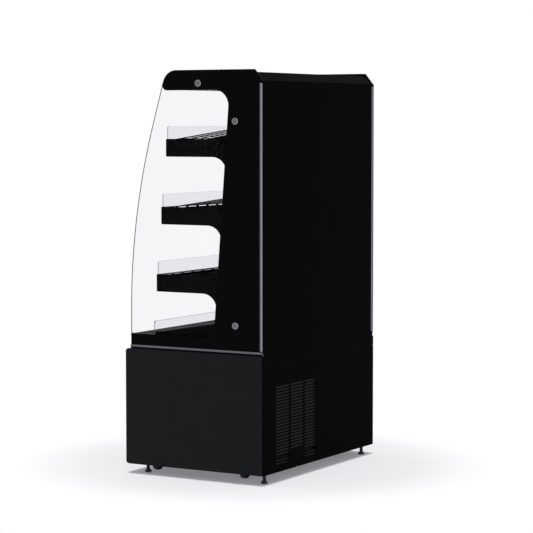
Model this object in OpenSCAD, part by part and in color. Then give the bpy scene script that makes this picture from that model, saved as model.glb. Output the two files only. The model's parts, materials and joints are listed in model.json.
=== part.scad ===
// Open refrigerated display cabinet, grab and go pattern.
// Origin on the floor under the middle of the overall box, front towards -Y, up +Z.
// Outlines seen from the side are written as [depth forward of the rear plane, height, corner radius].

/* [Overall] */
// Width over the edge trims
body_w = 880; // [760:10:1200]
// Depth from the base front to the back of the edge trims
body_d = 604; // [580:2:700]
// Height to the top of the side glasses
body_h = 1510; // [1470:5:1650]

/* [Base] */
// Floor to the lower edge of the base panels
floor_gap = 36; // [33:1:40]
// Height of the base panels
base_h = 437; // [425:1:460]
// Sheet thickness of the casing panels
skin_t = 1.5; // [1:0.1:1.5]
// Corner radius at the front of the base side panels
panel_corner_r = 18; // [8:1:40]
// Bend radius at the front edge of the base side panels
panel_bend_r = 8; // [3:0.5:10]
// How far the side panels lie inside the edge trims
panel_inset = 2; // [1:0.5:3]
// Width of the flanges folded in from the side panels
panel_flange = 14; // [10:1:20]

/* [Rear panels] */
// Sheet thickness of the rear panels
rear_t = 1.2; // [0.8:0.1:1.5]
// How far the joint of the rear panels lies below the top of the base
rear_joint_drop = 38; // [30:1:60]
// Width of each grille column
grille_slot_w = 100; // [80:1:102]
// Height of one grille slot
grille_slot_h = 6; // [4:0.5:8]
// Distance from one grille slot to the next
grille_pitch = 11.8; // [10.5:0.1:12]
// Slots in a full grille column
grille_rows = 25; // [10:1:25]
// Slots left out of the middle column above the cable hole
grille_short = 4; // [4:1:8]
// Columns of the grille
grille_cols = 3; // [1:1:3]
// Diameter of the cable hole
cable_hole_d = 25; // [18:1:30]

/* [Side glass] */
// Thickness of the side glasses
glass_t = 6; // [5:0.5:8]
// How far the glass stands behind the base front
glass_setback = 27; // [20:1:40]
// Height of the knee of the front edge, as a share of the glass above the sill
glass_knee_share = 0.4742; // [0.42:0.0001:0.5]
// Radius of the long curve in the front edge
glass_knee_r = 2500; // [1200:50:2800]
// Backward slant of the glass above the knee in degrees
slant = 16.4; // [14:0.1:18]
// Radius of the nose
nose_r = 57; // [30:1:70]
// Depth of the rear chamfer
chamfer_w = 37; // [25:1:45]
// Height of the rear chamfer
chamfer_h = 42; // [30:1:50]
// Height of the lower printed band above the sill
band_low_h = 42; // [38:1:60]
// Height of the upper printed band
band_top_h = 74; // [72:1:90]
// Diameter of the standoff caps
cap_d = 24; // [18:1:28]
// Height of the standoff caps over the glass
cap_h = 9; // [5:0.5:12]

/* [Edge trims] */
// Thickness of the outer lip of the trims
trim_lip = 4; // [2.5:0.1:5]
// Height of the sill trim
sill_h = 16; // [12:1:18]
// Depth of the post trim along the side
post_w = 16.5; // [12:0.5:20]
// How far the post trim stands behind the rear panels
post_proud = 4; // [3:0.5:6]

/* [Canopy] */
// Roof below the top of the side glasses
roof_drop = 10; // [6:1:14]
// Height of the canopy
canopy_h = 62; // [58:1:66]
// Sheet thickness of the canopy
canopy_t = 2; // [1.5:0.1:3]

/* [Shelves] */
// Backward lean of the rear duct panel and its uprights in degrees
lean = 4.9; // [3:0.1:6]
// Height of the lowest shelf over the tub, as a share of the open height
shelf_first_share = 0.25; // [0.22:0.0001:0.26]
// Height from one shelf to the next, as a share of the open height
shelf_pitch_share = 0.2759; // [0.26:0.0001:0.28]
// Depth of the shelves from the duct panel
shelf_depth = 287; // [260:1:300]
// Slope of the shelf decks in degrees, rear higher
deck_tilt = 8.9; // [7:0.1:10]
// Height of the bracket plates at the front
bracket_h = 65.5; // [60:0.5:80]
// Thickness of the bracket plates
bracket_t = 2.5; // [2:0.1:4]
// Radius of the fillet under each bracket
gusset_r = 59; // [30:1:70]
// Height of the clear risers over the brackets
riser_h = 47; // [35:1:60]
// Thickness of the clear risers
riser_t = 5; // [3:0.5:6]
// Distance between the slots of a deck across the width
deck_slot_pitch = 72; // [50:1:90]

/* [Feet and castors] */
// Diameter of the foot pads
foot_pad_d = 25; // [20:1:28]
// Diameter of the foot stems
foot_stem_d = 12; // [8:1:13]
// Feet from the sides of the cabinet
foot_inset = 55; // [50:1:60]
// Castor wheel diameter
wheel_d = 50; // [44:1:52]
// Castor wheel width
wheel_w = 20; // [16:1:22]
// Castor wheels over the floor while the cabinet stands on its feet
wheel_gap = 4; // [2:0.5:6]

/* [Hidden] */

// Clearances and overruns
seat_gap = 0.3;
play = 0.2;
run_gap = 0.05;
over = 1;
arc_steps = 8;
knee_steps = 20;
$fn = 40;

// Planes of the casing
half_w = body_w / 2;
front_y = -body_d / 2;
rear_y = body_d / 2 - post_proud;
case_d = body_d - post_proud;
base_top = floor_gap + base_h;
panel_x = half_w - panel_inset;

// Edge trims and the glass held in them
groove_in = 0.6;
print_t = 0.6;
lip_in = 1.8;
glass_x = half_w - trim_lip - play;
print_x = glass_x - glass_t;
lip_x = print_x - print_t - play;
trim_in_x = lip_x - lip_in;
inner_x = trim_in_x - seat_gap;
sill_z = base_top + seat_gap;
sill_top = sill_z + sill_h;
sill_web = 6;
post_end = 2;
post_half = glass_x + play;
post_drop = 50;
trim_round = 3.2;
glass_bottom = sill_z + sill_web + play;
glass_front = case_d - glass_setback;
glass_back = rear_t + seat_gap;
glass_edge_r = 5;
knee_z = sill_top + glass_knee_share * (body_h - sill_top);
nose_depth = glass_front - (body_h - knee_z) * tan(slant);

// Printed border
window_low = sill_top + band_low_h;
window_top = body_h - band_top_h;
window_lean = 4.3;
window_rear_top = 142;
window_rear_low = window_rear_top + (window_top - window_low) * tan(window_lean);
window_r_top = 57;
window_r_low = 35;
nose_low_r = 19.5;
nose_low_depth = nose_depth + band_top_h * tan(slant);

// Tub, back wall, duct and canopy
tub_drop = 3;
tub_top = window_low - tub_drop;
tub_h = 134;
tub_bottom = tub_top - tub_h;
tub_wall = 27;
tub_floor = 30;
tub_front_d = glass_front - tub_drop;
tub_lip_w = 25;
back_t = 39;
cheek_t = 18;
duct_t = 1.5;
duct_foot = 199.5;
roof_z = body_h - roof_drop;
canopy_z = roof_z - canopy_h;
shelf_first_h = shelf_first_share * (canopy_z - tub_top);
shelf_pitch = shelf_pitch_share * (canopy_z - tub_top);
canopy_step = 30;
canopy_nose_in = 4;
canopy_r_low = 18;
canopy_r_step = 2;
upright_w = 18;
upright_t = 9;
upright_wall = 2;

// Frame of the base
rail_w = 30;
rail_h = 40;
rail_wall = 2.5;
rail_lift = 2;
rail_z = floor_gap + rail_lift;
rail_top = rail_z + rail_h;
front_rail_w = 20;
rail_rear_in = 6;
rail_front_in = 14.5;
foot_x = half_w - foot_inset;
foot_front_in = 68;
foot_front_d = case_d - foot_front_in;
foot_rear_d = 25;
boss_d = 20;
boss_h = 14;
post_flange = 45;
ring_h = 20;
tray_t = 1.5;
cross_plate_w = 64;
cross_plate_t = 3;
frame_half = panel_x - skin_t - seat_gap;

// Castors
castor_side = 63;
castor_x = foot_x - castor_side;
castor_front_in = 85;
castor_front_d = case_d - castor_front_in;
castor_rear_d = 132;
castor_trail = 20;
axle_z = wheel_gap + wheel_d / 2;
axle_d = 6;
kingpin_d = 8;
castor_plate_w = 52;
castor_plate_l = 58;
castor_plate_t = 2.5;
castor_top = rail_top - cross_plate_t;
race_d = 38;
race_h = 3;
crown_t = 9;
crown_web = 3;
fork_t = 2.5;
fork_gap = 1;
pin_head_d = 14;
pin_head_h = 3;
hub_d = 16;
tread_t = 6;

// Depth of the duct panel's front face at a height
function duct_depth(z) = duct_foot - (z - tub_top) * tan(lean);
// A place at a depth forward of the rear plane
function at(d) = rear_y - d;
function unit(v) = v / norm(v);
function turn(a) = a > 180 ? a - 360 : a < -180 ? a + 360 : a;
function xy(p) = [p.x, p.y];
// One corner q between neighbours p and s, rounded by an arc that touches both sides
function corner(p, q, s, r, n) = r <= 0 ? [q] :
    let (u = unit(p - q), w = unit(s - q), half = acos(u * w) / 2,
        c = q + unit(u + w) * r / sin(half), start = q + u * r / tan(half) - c,
            end = q + w * r / tan(half) - c,
        a = atan2(start.y, start.x), sweep = turn(atan2(end.y, end.x) - a))
    [for (i = [0:n]) c + r * [cos(a + sweep * i / n), sin(a + sweep * i / n)]];
// A closed outline from corners written [x, y, radius]
function rounded(c, n = arc_steps) = [for (i = [0:len(c) - 1])
    each corner(xy(c[(i + len(c) - 1) % len(c)]), xy(c[i]), xy(c[(i + 1) % len(c)]), c[i].z, n)];
// The same corners with every side moved inwards by t, for corners that run anticlockwise
function inset(c, t) = [for (i = [0:len(c) - 1])
    let (q = xy(c[i]), u = unit(xy(c[(i + len(c) - 1) % len(c)]) - q),
        w = unit(xy(c[(i + 1) % len(c)]) - q),
        k = w.x * u.y - w.y * u.x, m = q + (u + w) * t / k)
    [m.x, m.y, c[i].z <= 0 ? 0 : max(c[i].z - t * sign(k), t / arc_steps)]];

// Extrusions: a side outline along X, a rear outline towards -Y, mirrored copies
module side_plate(x, t) { translate([x, rear_y, 0]) rotate([90, 0, 90]) mirror([1, 0])
    linear_extrude(t) children(); }
module rear_sheet(y, t) { translate([0, y, 0]) rotate([90, 0, 0]) linear_extrude(t) children(); }
module both_sides() { children(); mirror([1, 0, 0]) children(); }
module block(x0, x1, y0, y1, z0, z1) { translate([x0, y0, z0]) cube([x1 - x0, y1 - y0, z1 - z0]); }
module rod_x(d, l) { rotate([0, 90, 0]) cylinder(d = d, h = l); }
module rod_y(d, l) { rotate([-90, 0, 0]) cylinder(d = d, h = l); }
module leaning() { translate([0, at(duct_foot), tub_top]) rotate([-lean, 0, 0]) children(); }

// Frame of the base: rails, floor tray, uprights and the ring under the tub
front_rail_y = front_y + rail_front_in;
rear_rail_y = rear_y - rail_rear_in - rail_w;
rail_l = rear_rail_y + rail_w - front_rail_y;
foot_places = [[foot_x, at(foot_front_d)], [-foot_x, at(foot_front_d)], [foot_x, at(foot_rear_d)],
    [-foot_x, at(foot_rear_d)]];
castor_places = [[castor_x, at(castor_front_d)], [-castor_x, at(castor_front_d)], [castor_x,
    at(castor_rear_d)],
    [-castor_x, at(castor_rear_d)]];
module rails(w) {
    both_sides() block(foot_x - rail_w / 2 + w, foot_x + rail_w / 2 - w, front_rail_y + w,
        front_rail_y + rail_l - w, rail_z + w, rail_top - w);
    block(-frame_half + w, frame_half - w, front_rail_y + w, front_rail_y + front_rail_w - w,
        rail_z + w, rail_top - w);
    block(-frame_half + w, frame_half - w, rear_rail_y + w, rear_rail_y + rail_w - w, rail_z + w,
        rail_top - w);
}
module frame_posts() {
    both_sides() {
        block(foot_x + rail_w / 2 - post_flange, foot_x + rail_w / 2, rear_rail_y + rail_w - rail_wall,
            rear_rail_y + rail_w, rail_top, tub_bottom);
        block(foot_x + rail_w / 2 - rail_wall, foot_x + rail_w / 2, rear_rail_y, rear_rail_y + rail_w,
            rail_top, tub_bottom);
        block(foot_x - rail_w / 2, foot_x + rail_w / 2, front_rail_y, front_rail_y + rail_wall,
            rail_top, tub_bottom);
        block(foot_x + rail_w / 2 - rail_wall, foot_x + rail_w / 2, front_rail_y,
            front_rail_y + front_rail_w, rail_top, tub_bottom);
    }
}
module frame_ring() {
    both_sides() block(foot_x + rail_w / 2 - rail_wall, foot_x + rail_w / 2, front_rail_y,
        front_rail_y + rail_l, tub_bottom - ring_h, tub_bottom);
    both_sides() block(foot_x - rail_w / 2, foot_x + rail_w / 2, front_rail_y,
        front_rail_y + rail_l, tub_bottom - rail_wall, tub_bottom);
    block(-foot_x, foot_x, front_rail_y, front_rail_y + rail_wall, tub_bottom - ring_h, tub_bottom);
    block(-foot_x, foot_x, rear_rail_y + rail_w - rail_wall, rear_rail_y + rail_w,
        tub_bottom - ring_h, tub_bottom);
}
module base_frame() {
    color("dimgray") difference() {
        union() {
            difference() { rails(0); rails(rail_wall); }
            for (p = foot_places) translate([p.x, p.y, rail_z + rail_wall / 2])
                cylinder(d = boss_d, h = boss_h);
            for (d = [castor_front_d, castor_rear_d]) block(-foot_x, foot_x, at(d) - cross_plate_w / 2,
                at(d) + cross_plate_w / 2, castor_top, rail_top);
            block(-foot_x - rail_w / 2, foot_x + rail_w / 2, front_rail_y, rear_rail_y + rail_w,
                rail_top, rail_top + tray_t);
            frame_posts();
            frame_ring();
        }
        for (p = foot_places) translate([p.x, p.y, rail_z - over])
            cylinder(d = foot_stem_d + 2 * run_gap, h = rail_h - rail_wall);
        lower_screw_cuts();
    }
}

// Levelling foot: pad, hexagon and screw stem
foot_pad_h = 10;
foot_hex_d = 16;
foot_hex_h = 4;
foot_neck_h = 0.5;
foot_chamfer = 3.5;
foot_reach = 62;
module foot(p) {
    color("black") translate([p.x, p.y, 0]) {
        cylinder(d = foot_pad_d, h = foot_pad_h - foot_chamfer);
        translate([0, 0, foot_pad_h - foot_chamfer])
            cylinder(d1 = foot_pad_d, d2 = foot_pad_d - 2 * foot_chamfer, h = foot_chamfer);
        cylinder(d = foot_stem_d, h = foot_reach);
        translate([0, 0, foot_pad_h + foot_neck_h]) cylinder(d = foot_hex_d, h = foot_hex_h, $fn = 6);
    }
}

// Castors: fixed top plates with kingpins, swivelling forks and wheels
module castor_plates() {
    color("silver") for (p = castor_places) translate([p.x, p.y, 0]) {
        translate([-castor_plate_w / 2, -castor_plate_l / 2, castor_top - castor_plate_t])
            cube([castor_plate_w, castor_plate_l, castor_plate_t]);
        translate([0, 0, castor_top - castor_plate_t - race_h]) cylinder(d = race_d, h = race_h + over);
        translate([0, 0, crown_low - seat_gap - pin_head_h])
            cylinder(d = kingpin_d, h = castor_top - castor_plate_t - crown_low + pin_head_h);
        translate([0, 0, crown_low - seat_gap - pin_head_h]) cylinder(d = pin_head_d, h = pin_head_h);
    }
}
crown_top = castor_top - castor_plate_t - race_h - seat_gap;
crown_low = crown_top - crown_t;
leg_x = wheel_w / 2 + fork_gap;
leg_corner_r = 7;
module castor_fork(p, side) {
    color("silver") translate([p.x, p.y, 0]) difference() {
        union() {
            translate([0, 0, crown_low + crown_web]) cylinder(d = race_d, h = crown_t - crown_web);
            translate([-race_d / 2, -leg_x - fork_t, crown_low])
                cube([race_d, 2 * (leg_x + fork_t), crown_web]);
            for (y = [-leg_x - fork_t, leg_x]) translate([0, y + fork_t, 0]) rotate([90, 0, 0])
                linear_extrude(fork_t) polygon(rounded([[side * race_d / 2, crown_low + crown_web, 0],
                    [-side * race_d / 2, crown_low + crown_web, 0], [-side * race_d / 2, crown_low, 0],
                    [side * (castor_trail - leg_corner_r), axle_z - leg_corner_r, leg_corner_r / 2],
                    [side * (castor_trail + leg_corner_r), axle_z - leg_corner_r, leg_corner_r / 2],
                    [side * (castor_trail + leg_corner_r), axle_z + leg_corner_r, 0]]));
            translate([side * castor_trail, -leg_x - fork_t - over, axle_z])
                rod_y(axle_d, 2 * (leg_x + fork_t + over));
        }
        translate([0, 0, crown_low - over]) cylinder(d = kingpin_d + 2 * run_gap,
            h = crown_t + 2 * over);
    }
}
module castor_wheel(p, side) {
    wheel_round = 3;
    color("gray") translate([p.x + side * castor_trail, p.y, axle_z]) rotate([90, 0, 0])
        rotate_extrude($fn = 64)
        polygon(rounded([[axle_d / 2 + run_gap, -wheel_w / 2, 0], [hub_d / 2, -wheel_w / 2, 0],
            [hub_d / 2 + over, -wheel_w / 4, 1], [wheel_d / 2 - tread_t, -wheel_w / 4, 1],
            [wheel_d / 2 - tread_t, -wheel_w / 2, 0], [wheel_d / 2, -wheel_w / 2, wheel_round],
            [wheel_d / 2, wheel_w / 2, wheel_round], [wheel_d / 2 - tread_t, wheel_w / 2, 0],
            [wheel_d / 2 - tread_t, wheel_w / 4, 1], [hub_d / 2 + over, wheel_w / 4, 1],
            [hub_d / 2, wheel_w / 2, 0], [axle_d / 2 + run_gap, wheel_w / 2, 0]], 4));
}

// Base side panel: a folded pan with a rounded front edge and rounded front corners
module panel_section(t) {
    r = panel_bend_r;
    polygon(concat(
        rounded([[panel_x - t - panel_flange, front_y + t, 0], [panel_x - t - panel_flange, front_y, 0],
            [panel_x, front_y, r], [panel_x, rear_y - post_proud, over],
            [trim_in_x, rear_y - post_proud, 0],
            [trim_in_x, rear_y - post_proud - t, 0],
            [panel_x - t, rear_y - post_proud - t, 0], [panel_x - t, front_y + t, r - t]])));
}
module base_side_panel() {
    flange_y = front_y + panel_corner_r;
    color([0.12, 0.12, 0.13]) {
        intersection() {
            translate([0, 0, floor_gap]) linear_extrude(base_h) panel_section(skin_t);
            side_plate(0, body_w) polygon(rounded([[0, floor_gap, 0],
                [case_d, floor_gap, panel_corner_r],
                [case_d, base_top, panel_corner_r], [0, base_top, 0]]));
        }
        block(trim_in_x, panel_x - skin_t / 2, flange_y, rear_y - post_proud - skin_t / 2,
            base_top - skin_t, base_top);
    }
}

// Base front panel with the air intake and the ledge under the glass
front_panel_y = front_y + skin_t + seat_gap;
intake_w = 150;
intake_gap = 12;
intake_cols = 4;
intake_rows = 8;
intake_z = 70;
ctrl_w = 76;
ctrl_h = 34;
ctrl_in = 150;
ctrl_drop = 54.3;
ctrl_x = half_w - ctrl_in;
ctrl_z = tub_bottom - ctrl_drop;
ctrl_frame = 3;
ctrl_depth = 60;
front_flange = 30;
module base_front_panel() {
    t = rear_t;
    r = panel_corner_r - skin_t - seat_gap;
    d = case_d - skin_t - seat_gap;
    back = tub_front_d + seat_gap;
    low = floor_gap;
    row_l = intake_cols * intake_w + (intake_cols - 1) * intake_gap;
    color([0.1, 0.1, 0.11]) difference() {
        side_plate(-inner_x, 2 * inner_x) polygon(rounded([[back, base_top, 0], [back, base_top - t, 0],
            [d - t, base_top - t, r - t], [d - t, low + t, r - t], [d - front_flange, low + t, 0],
            [d - front_flange, low, 0], [d, low, r], [d, base_top, r]]));
        for (i = [0:intake_cols - 1], k = [0:intake_rows - 1])
            translate([-row_l / 2 + i * (intake_w + intake_gap), front_panel_y - over,
                floor_gap + intake_z + k * grille_pitch])
                cube([intake_w, rear_t + 2 * over, grille_slot_h]);
        translate([ctrl_x, front_panel_y - over, ctrl_z])
            cube([ctrl_w - 2 * ctrl_frame, rear_t + 2 * over, ctrl_h - 2 * ctrl_frame]);
    }
}

// Digital thermostat set into the front panel
module controller() {
    bezel_t = 1.4;
    glass_in = 5;
    color("black") difference() {
        union() {
            translate([ctrl_x - ctrl_frame, front_panel_y, ctrl_z - ctrl_frame]) rotate([90, 0, 0])
                linear_extrude(bezel_t) polygon(rounded([[0, 0, ctrl_frame], [ctrl_w, 0, ctrl_frame],
                    [ctrl_w, ctrl_h, ctrl_frame], [0, ctrl_h, ctrl_frame]]));
            translate([ctrl_x + play, front_panel_y, ctrl_z + play])
                cube([ctrl_w - 2 * ctrl_frame - 2 * play, ctrl_depth,
                    ctrl_h - 2 * ctrl_frame - 2 * play]);
        }
        translate([ctrl_x + glass_in, front_panel_y - bezel_t - over, ctrl_z + glass_in])
            cube([ctrl_w / 2, over + bezel_t / 2, ctrl_h - 2 * ctrl_frame - 2 * glass_in]);
    }
}

// Rear panels, their screws and the cable entry
panel_joint = 1;
rear_lower_h = base_h - rear_joint_drop;
rear_joint_z = floor_gap + rear_lower_h;
rear_wide = panel_x;
rear_upper_wide = post_half - seat_gap;
rear_top_z = body_h - chamfer_h - over;
grille_in = 98;
grille_drop = 82;
grille_x = half_w - grille_in;
grille_gap = 8.5;
grille_top_z = rear_joint_z - grille_drop;
cable_x = grille_x - 1.5 * grille_slot_w - grille_gap;
cable_up = 38;
cable_z = floor_gap + cable_up;
cable_slit = 4;
screw_in = 56;
screw_in_left = 81;
screw_mid_x = 12;
screw_top_drop = 116;
screw_sill_up = 17;
screw_mid_share = 0.4435;
screw_joint_drop = 28;
screw_foot_up = 73;
screw_span = body_h - screw_top_drop - sill_top - screw_sill_up;
screw_cols = [half_w - screw_in, screw_mid_x, screw_in_left - half_w];
screw_up_z = [body_h - screw_top_drop, sill_top + screw_sill_up + screw_mid_share * screw_span,
    sill_top + screw_sill_up];
screw_low_z = [rear_joint_z - screw_joint_drop, floor_gap + screw_foot_up];
screw_d = 4;
screw_head_d = 9;
screw_head_h = 1.6;
screw_l = 8;
module screw_at(x, z, d, l) { translate([x, rear_y - l, z]) rod_y(d, l + over); }
module upper_screw_cuts(g = play) { for (x = screw_cols, z = screw_up_z)
    screw_at(x, z, screw_d + 2 * g, screw_l + over); }
module lower_screw_cuts(g = play) { for (x = screw_cols, z = screw_low_z)
    screw_at(x, z, screw_d + 2 * g, screw_l + over); }
module rear_lower_panel() {
    color([0.05, 0.05, 0.05]) difference() {
        rear_sheet(rear_y, rear_t) difference() {
            translate([-rear_wide, floor_gap]) square([2 * rear_wide, rear_lower_h - panel_joint]);
            for (c = [0:grille_cols - 1], k = [0:grille_rows - 1 - (c == 1 ? grille_short : 0)])
                translate([grille_x - (c + 1) * grille_slot_w - c * grille_gap,
                    grille_top_z - grille_slot_h - k * grille_pitch])
                        square([grille_slot_w, grille_slot_h]);
            translate([cable_x, cable_z]) circle(d = cable_hole_d);
            translate([cable_x - cable_slit / 2, floor_gap - over])
                square([cable_slit, cable_z - floor_gap]);
        }
        lower_screw_cuts();
    }
}
module rear_upper_panel() {
    color([0.05, 0.05, 0.05]) difference() {
        rear_sheet(rear_y, rear_t) polygon([[-rear_wide, rear_joint_z], [rear_wide, rear_joint_z],
            [rear_wide, base_top - panel_joint], [inner_x, base_top - panel_joint],
            [inner_x, sill_top + seat_gap], [rear_upper_wide, sill_top + seat_gap],
            [rear_upper_wide, rear_top_z], [-rear_upper_wide, rear_top_z],
            [-rear_upper_wide, sill_top + seat_gap], [-inner_x, sill_top + seat_gap],
            [-inner_x, base_top - panel_joint], [-rear_wide, base_top - panel_joint]]);
        upper_screw_cuts();
    }
}
module panel_screws() {
    head_top = 6;
    color("dimgray") for (x = screw_cols, z = concat(screw_up_z, screw_low_z)) {
        screw_at(x, z, screw_d, screw_l - over);
        translate([x, rear_y, z]) rotate([-90, 0, 0]) cylinder(d1 = screw_head_d, d2 = head_top,
            h = screw_head_h);
    }
}
module cable_grommet() {
    rim = 2;
    rim_proud = 1;
    wall = 2;
    color("black") translate([cable_x, rear_y, cable_z]) rotate([90, 0, 0]) difference() {
        union() {
            cylinder(d = cable_hole_d - 2 * run_gap, h = rear_t);
            translate([0, 0, -rim_proud]) cylinder(d = cable_hole_d + 2 * rim, h = rim_proud);
            translate([0, 0, rear_t]) cylinder(d = cable_hole_d + 2 * rim, h = rim_proud);
        }
        translate([0, 0, -rim_proud - over]) cylinder(d = cable_hole_d - 2 * wall,
            h = rear_t + 2 * rim_proud + 2 * over);
    }
}

// Insulated tub under the decks
tub_in_x = inner_x - tub_wall;
tub_in_front = tub_front_d - tub_lip_w;
drain_in = 199.9;
drain_x = drain_in - tub_in_x;
drain_d = 22;
drain_depth = 130;
pipe_d = 10;
pipe_play = 3;
module tub() {
    color([0.16, 0.16, 0.17]) difference() {
        block(-inner_x, inner_x, at(tub_front_d), rear_y - rear_t, tub_bottom, tub_top);
        block(-tub_in_x, tub_in_x, at(tub_in_front), at(back_t), tub_bottom + tub_floor, tub_top + over);
        for (x = [suction_x, liquid_x]) translate([x, at(pipe_depth), tub_bottom - over])
            cylinder(d = pipe_d + 2 * pipe_play, h = tub_floor + 2 * over);
        translate([drain_x, at(drain_depth), tub_bottom - over])
            cylinder(d = drain_d, h = tub_floor + 2 * over);
        upper_screw_cuts();
        lower_screw_cuts();
    }
}

// Insulated back wall with side cheeks that carry the uprights and the glass studs
stud_d = 8;
stud_hole_play = 1;
stud_l = 16;
stud_nose_in = 143.3;
stud_top_drop = 49;
stud_rear_in = 28;
stud_rear_drop = 138.5;
stud_low_up = 90.5;
stud_places = [[nose_depth - stud_nose_in, body_h - stud_top_drop],
    [window_rear_top - stud_rear_in, body_h - stud_top_drop - stud_rear_drop],
    [window_rear_top - stud_rear_in, sill_top + stud_low_up]];
module stud_cuts(d) {
    both_sides() for (p = stud_places) translate([inner_x - stud_l - over, at(p.x), p.y])
        rod_x(d, stud_l + half_w - inner_x);
}
module back_wall() {
    front_low = duct_depth(tub_top) - upright_t / cos(lean) - seat_gap;
    front_top = duct_depth(canopy_z) - upright_t / cos(lean) - seat_gap;
    color([0.14, 0.14, 0.15]) difference() {
        union() {
            block(-inner_x, inner_x, at(back_t), rear_y - rear_t, tub_top, rear_top_z);
            both_sides() side_plate(inner_x - cheek_t, cheek_t) polygon([[back_t - over, tub_top],
                [front_low, tub_top], [front_top, canopy_z - seat_gap], [back_t - over,
                    canopy_z - seat_gap]]);
        }
        upper_screw_cuts();
        stud_cuts(stud_d + 2 * play);
    }
}

// Leaning duct panel with rows of air slots
air_slot_w = 24;
air_slot_h = 4;
air_pitch_x = 34;
air_pitch_z = 11;
air_rows = 3;
lean_l = (canopy_z - tub_top) / cos(lean);
slot_step = shelf_pitch / cos(lean) / 10;
panel_half = inner_x - upright_w - seat_gap;
duct_low = 66;
module duct_panel() {
    count = floor((2 * panel_half - air_pitch_x) / air_pitch_x);
    color([0.2, 0.2, 0.21]) leaning() difference() {
        block(-panel_half, panel_half, 0, duct_t, duct_low, lean_l - seat_gap);
        for (s = [1:3], k = [0:air_rows - 1], i = [0:count - 1])
            translate([(i - (count - 1) / 2) * air_pitch_x - air_slot_w / 2, -over,
                (shelf_first_h + s * shelf_pitch) / cos(lean) - bracket_h * 2.5 + k * air_pitch_z])
                cube([air_slot_w, duct_t + 2 * over, air_slot_h]);
    }
}

// Slotted uprights beside the duct panel
upright_slot_w = bracket_t + 2 * seat_gap;
upright_slot_h = 15;
module shelf_uprights() {
    slots = floor((lean_l - slot_step) / slot_step);
    mid = bracket_x - bracket_t / 2;
    first = hook_start % slot_step;
    color([0.2, 0.2, 0.21]) both_sides() leaning() difference() {
        block(inner_x - upright_w, inner_x, 0, upright_t, duct_low, lean_l - seat_gap);
        block(inner_x - upright_w + upright_wall, inner_x - upright_wall, upright_wall, upright_t + over,
            -over, lean_l + over);
        for (i = [0:slots - 1]) translate([mid - upright_slot_w / 2, -over, first + i * slot_step])
            cube([upright_slot_w, upright_wall + 2 * over, upright_slot_h]);
    }
}

// Canopy: a folded shell with a chamfered back, a rounded nose, an air outlet and a light recess
outlet_in = 17;
outlet_depth = nose_depth - outlet_in;
outlet_w = 50;
light_in = 85;
light_depth = nose_depth - light_in;
light_w = 36;
outlet_side = 30;
light_side = 50;
outlet_half = inner_x - outlet_side;
light_half = inner_x - light_side;
back_slot_w = 60;
back_slot_depth = 112;
function canopy_corners() = [[canopy_step + chamfer_w / 3, canopy_z, 0],
    [nose_low_depth - canopy_nose_in, canopy_z, canopy_r_low],
    [nose_depth + roof_drop * tan(slant) - canopy_nose_in, roof_z, nose_r - canopy_nose_in * 2],
    [chamfer_w - over, roof_z, canopy_r_step], [seat_gap, body_h - chamfer_h, 0],
    [canopy_step + chamfer_w / 3, body_h - chamfer_h, 0]];
module canopy() {
    color([0.04, 0.04, 0.04]) difference() {
        side_plate(-inner_x, 2 * inner_x) polygon(rounded(canopy_corners()));
        side_plate(-inner_x + canopy_t, 2 * (inner_x - canopy_t))
            polygon(rounded(inset(canopy_corners(), canopy_t)));
        block(-outlet_half, outlet_half, at(outlet_depth), at(outlet_depth - outlet_w),
            canopy_z - over, canopy_z + canopy_t + over);
        block(-light_half, light_half, at(light_depth), at(light_depth - light_w),
            canopy_z - over, canopy_z + canopy_t + over);
        block(-outlet_half, outlet_half, at(back_slot_depth), at(back_slot_depth - back_slot_w),
            canopy_z - over, canopy_z + canopy_t + over);
        stud_cuts(stud_d + 2 * play);
    }
}

// Honeycomb that straightens the air curtain
cell_d = 11;
cell_wall = 1.6;
honey_h = 20;
honey_flange = 6;
module air_honeycomb() {
    half = outlet_half - seat_gap;
    w = outlet_w - 2 * seat_gap;
    step_x = (cell_d + cell_wall);
    step_y = step_x * sin(60);
    cols = floor((2 * half - 2 * cell_wall - step_x) / step_x);
    rows = floor((w - 2 * cell_wall - step_x) / step_y) + 1;
    color("silver") translate([0, at(outlet_depth - outlet_w / 2), canopy_z + play]) {
        linear_extrude(honey_h) difference() {
            square([2 * half, w], center = true);
            for (k = [0:rows - 1], i = [0:cols - 1])
                translate([(i - (cols - 1) / 2 + (k % 2) / 2 - 1 / 4) * step_x,
                    (k - (rows - 1) / 2) * step_y])
                    rotate(30) circle(d = cell_d / cos(30), $fn = 6);
        }
        translate([0, 0, canopy_t + seat_gap]) linear_extrude(canopy_t) difference() {
            square([2 * (half + honey_flange), w + 2 * honey_flange], center = true);
            square([2 * half - over, w - over], center = true);
        }
    }
}

// Light bar recessed in the canopy
light_h = 14;
light_flange = 5;
module canopy_light() {
    half = light_half - seat_gap;
    w = light_w - 2 * seat_gap;
    lens_r = 4;
    color("whitesmoke") translate([0, at(light_depth - light_w / 2), canopy_z]) {
        rotate([90, 0, 90]) translate([0, 0, -half]) linear_extrude(2 * half)
            polygon(rounded([[-w / 2, 0, lens_r], [w / 2, 0, lens_r], [w / 2, light_h, 1], [-w / 2,
                light_h, 1]]));
        translate([-half - light_flange, -w / 2 - light_flange, canopy_t + seat_gap])
            cube([2 * (half + light_flange), w + 2 * light_flange, canopy_t]);
    }
}

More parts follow.
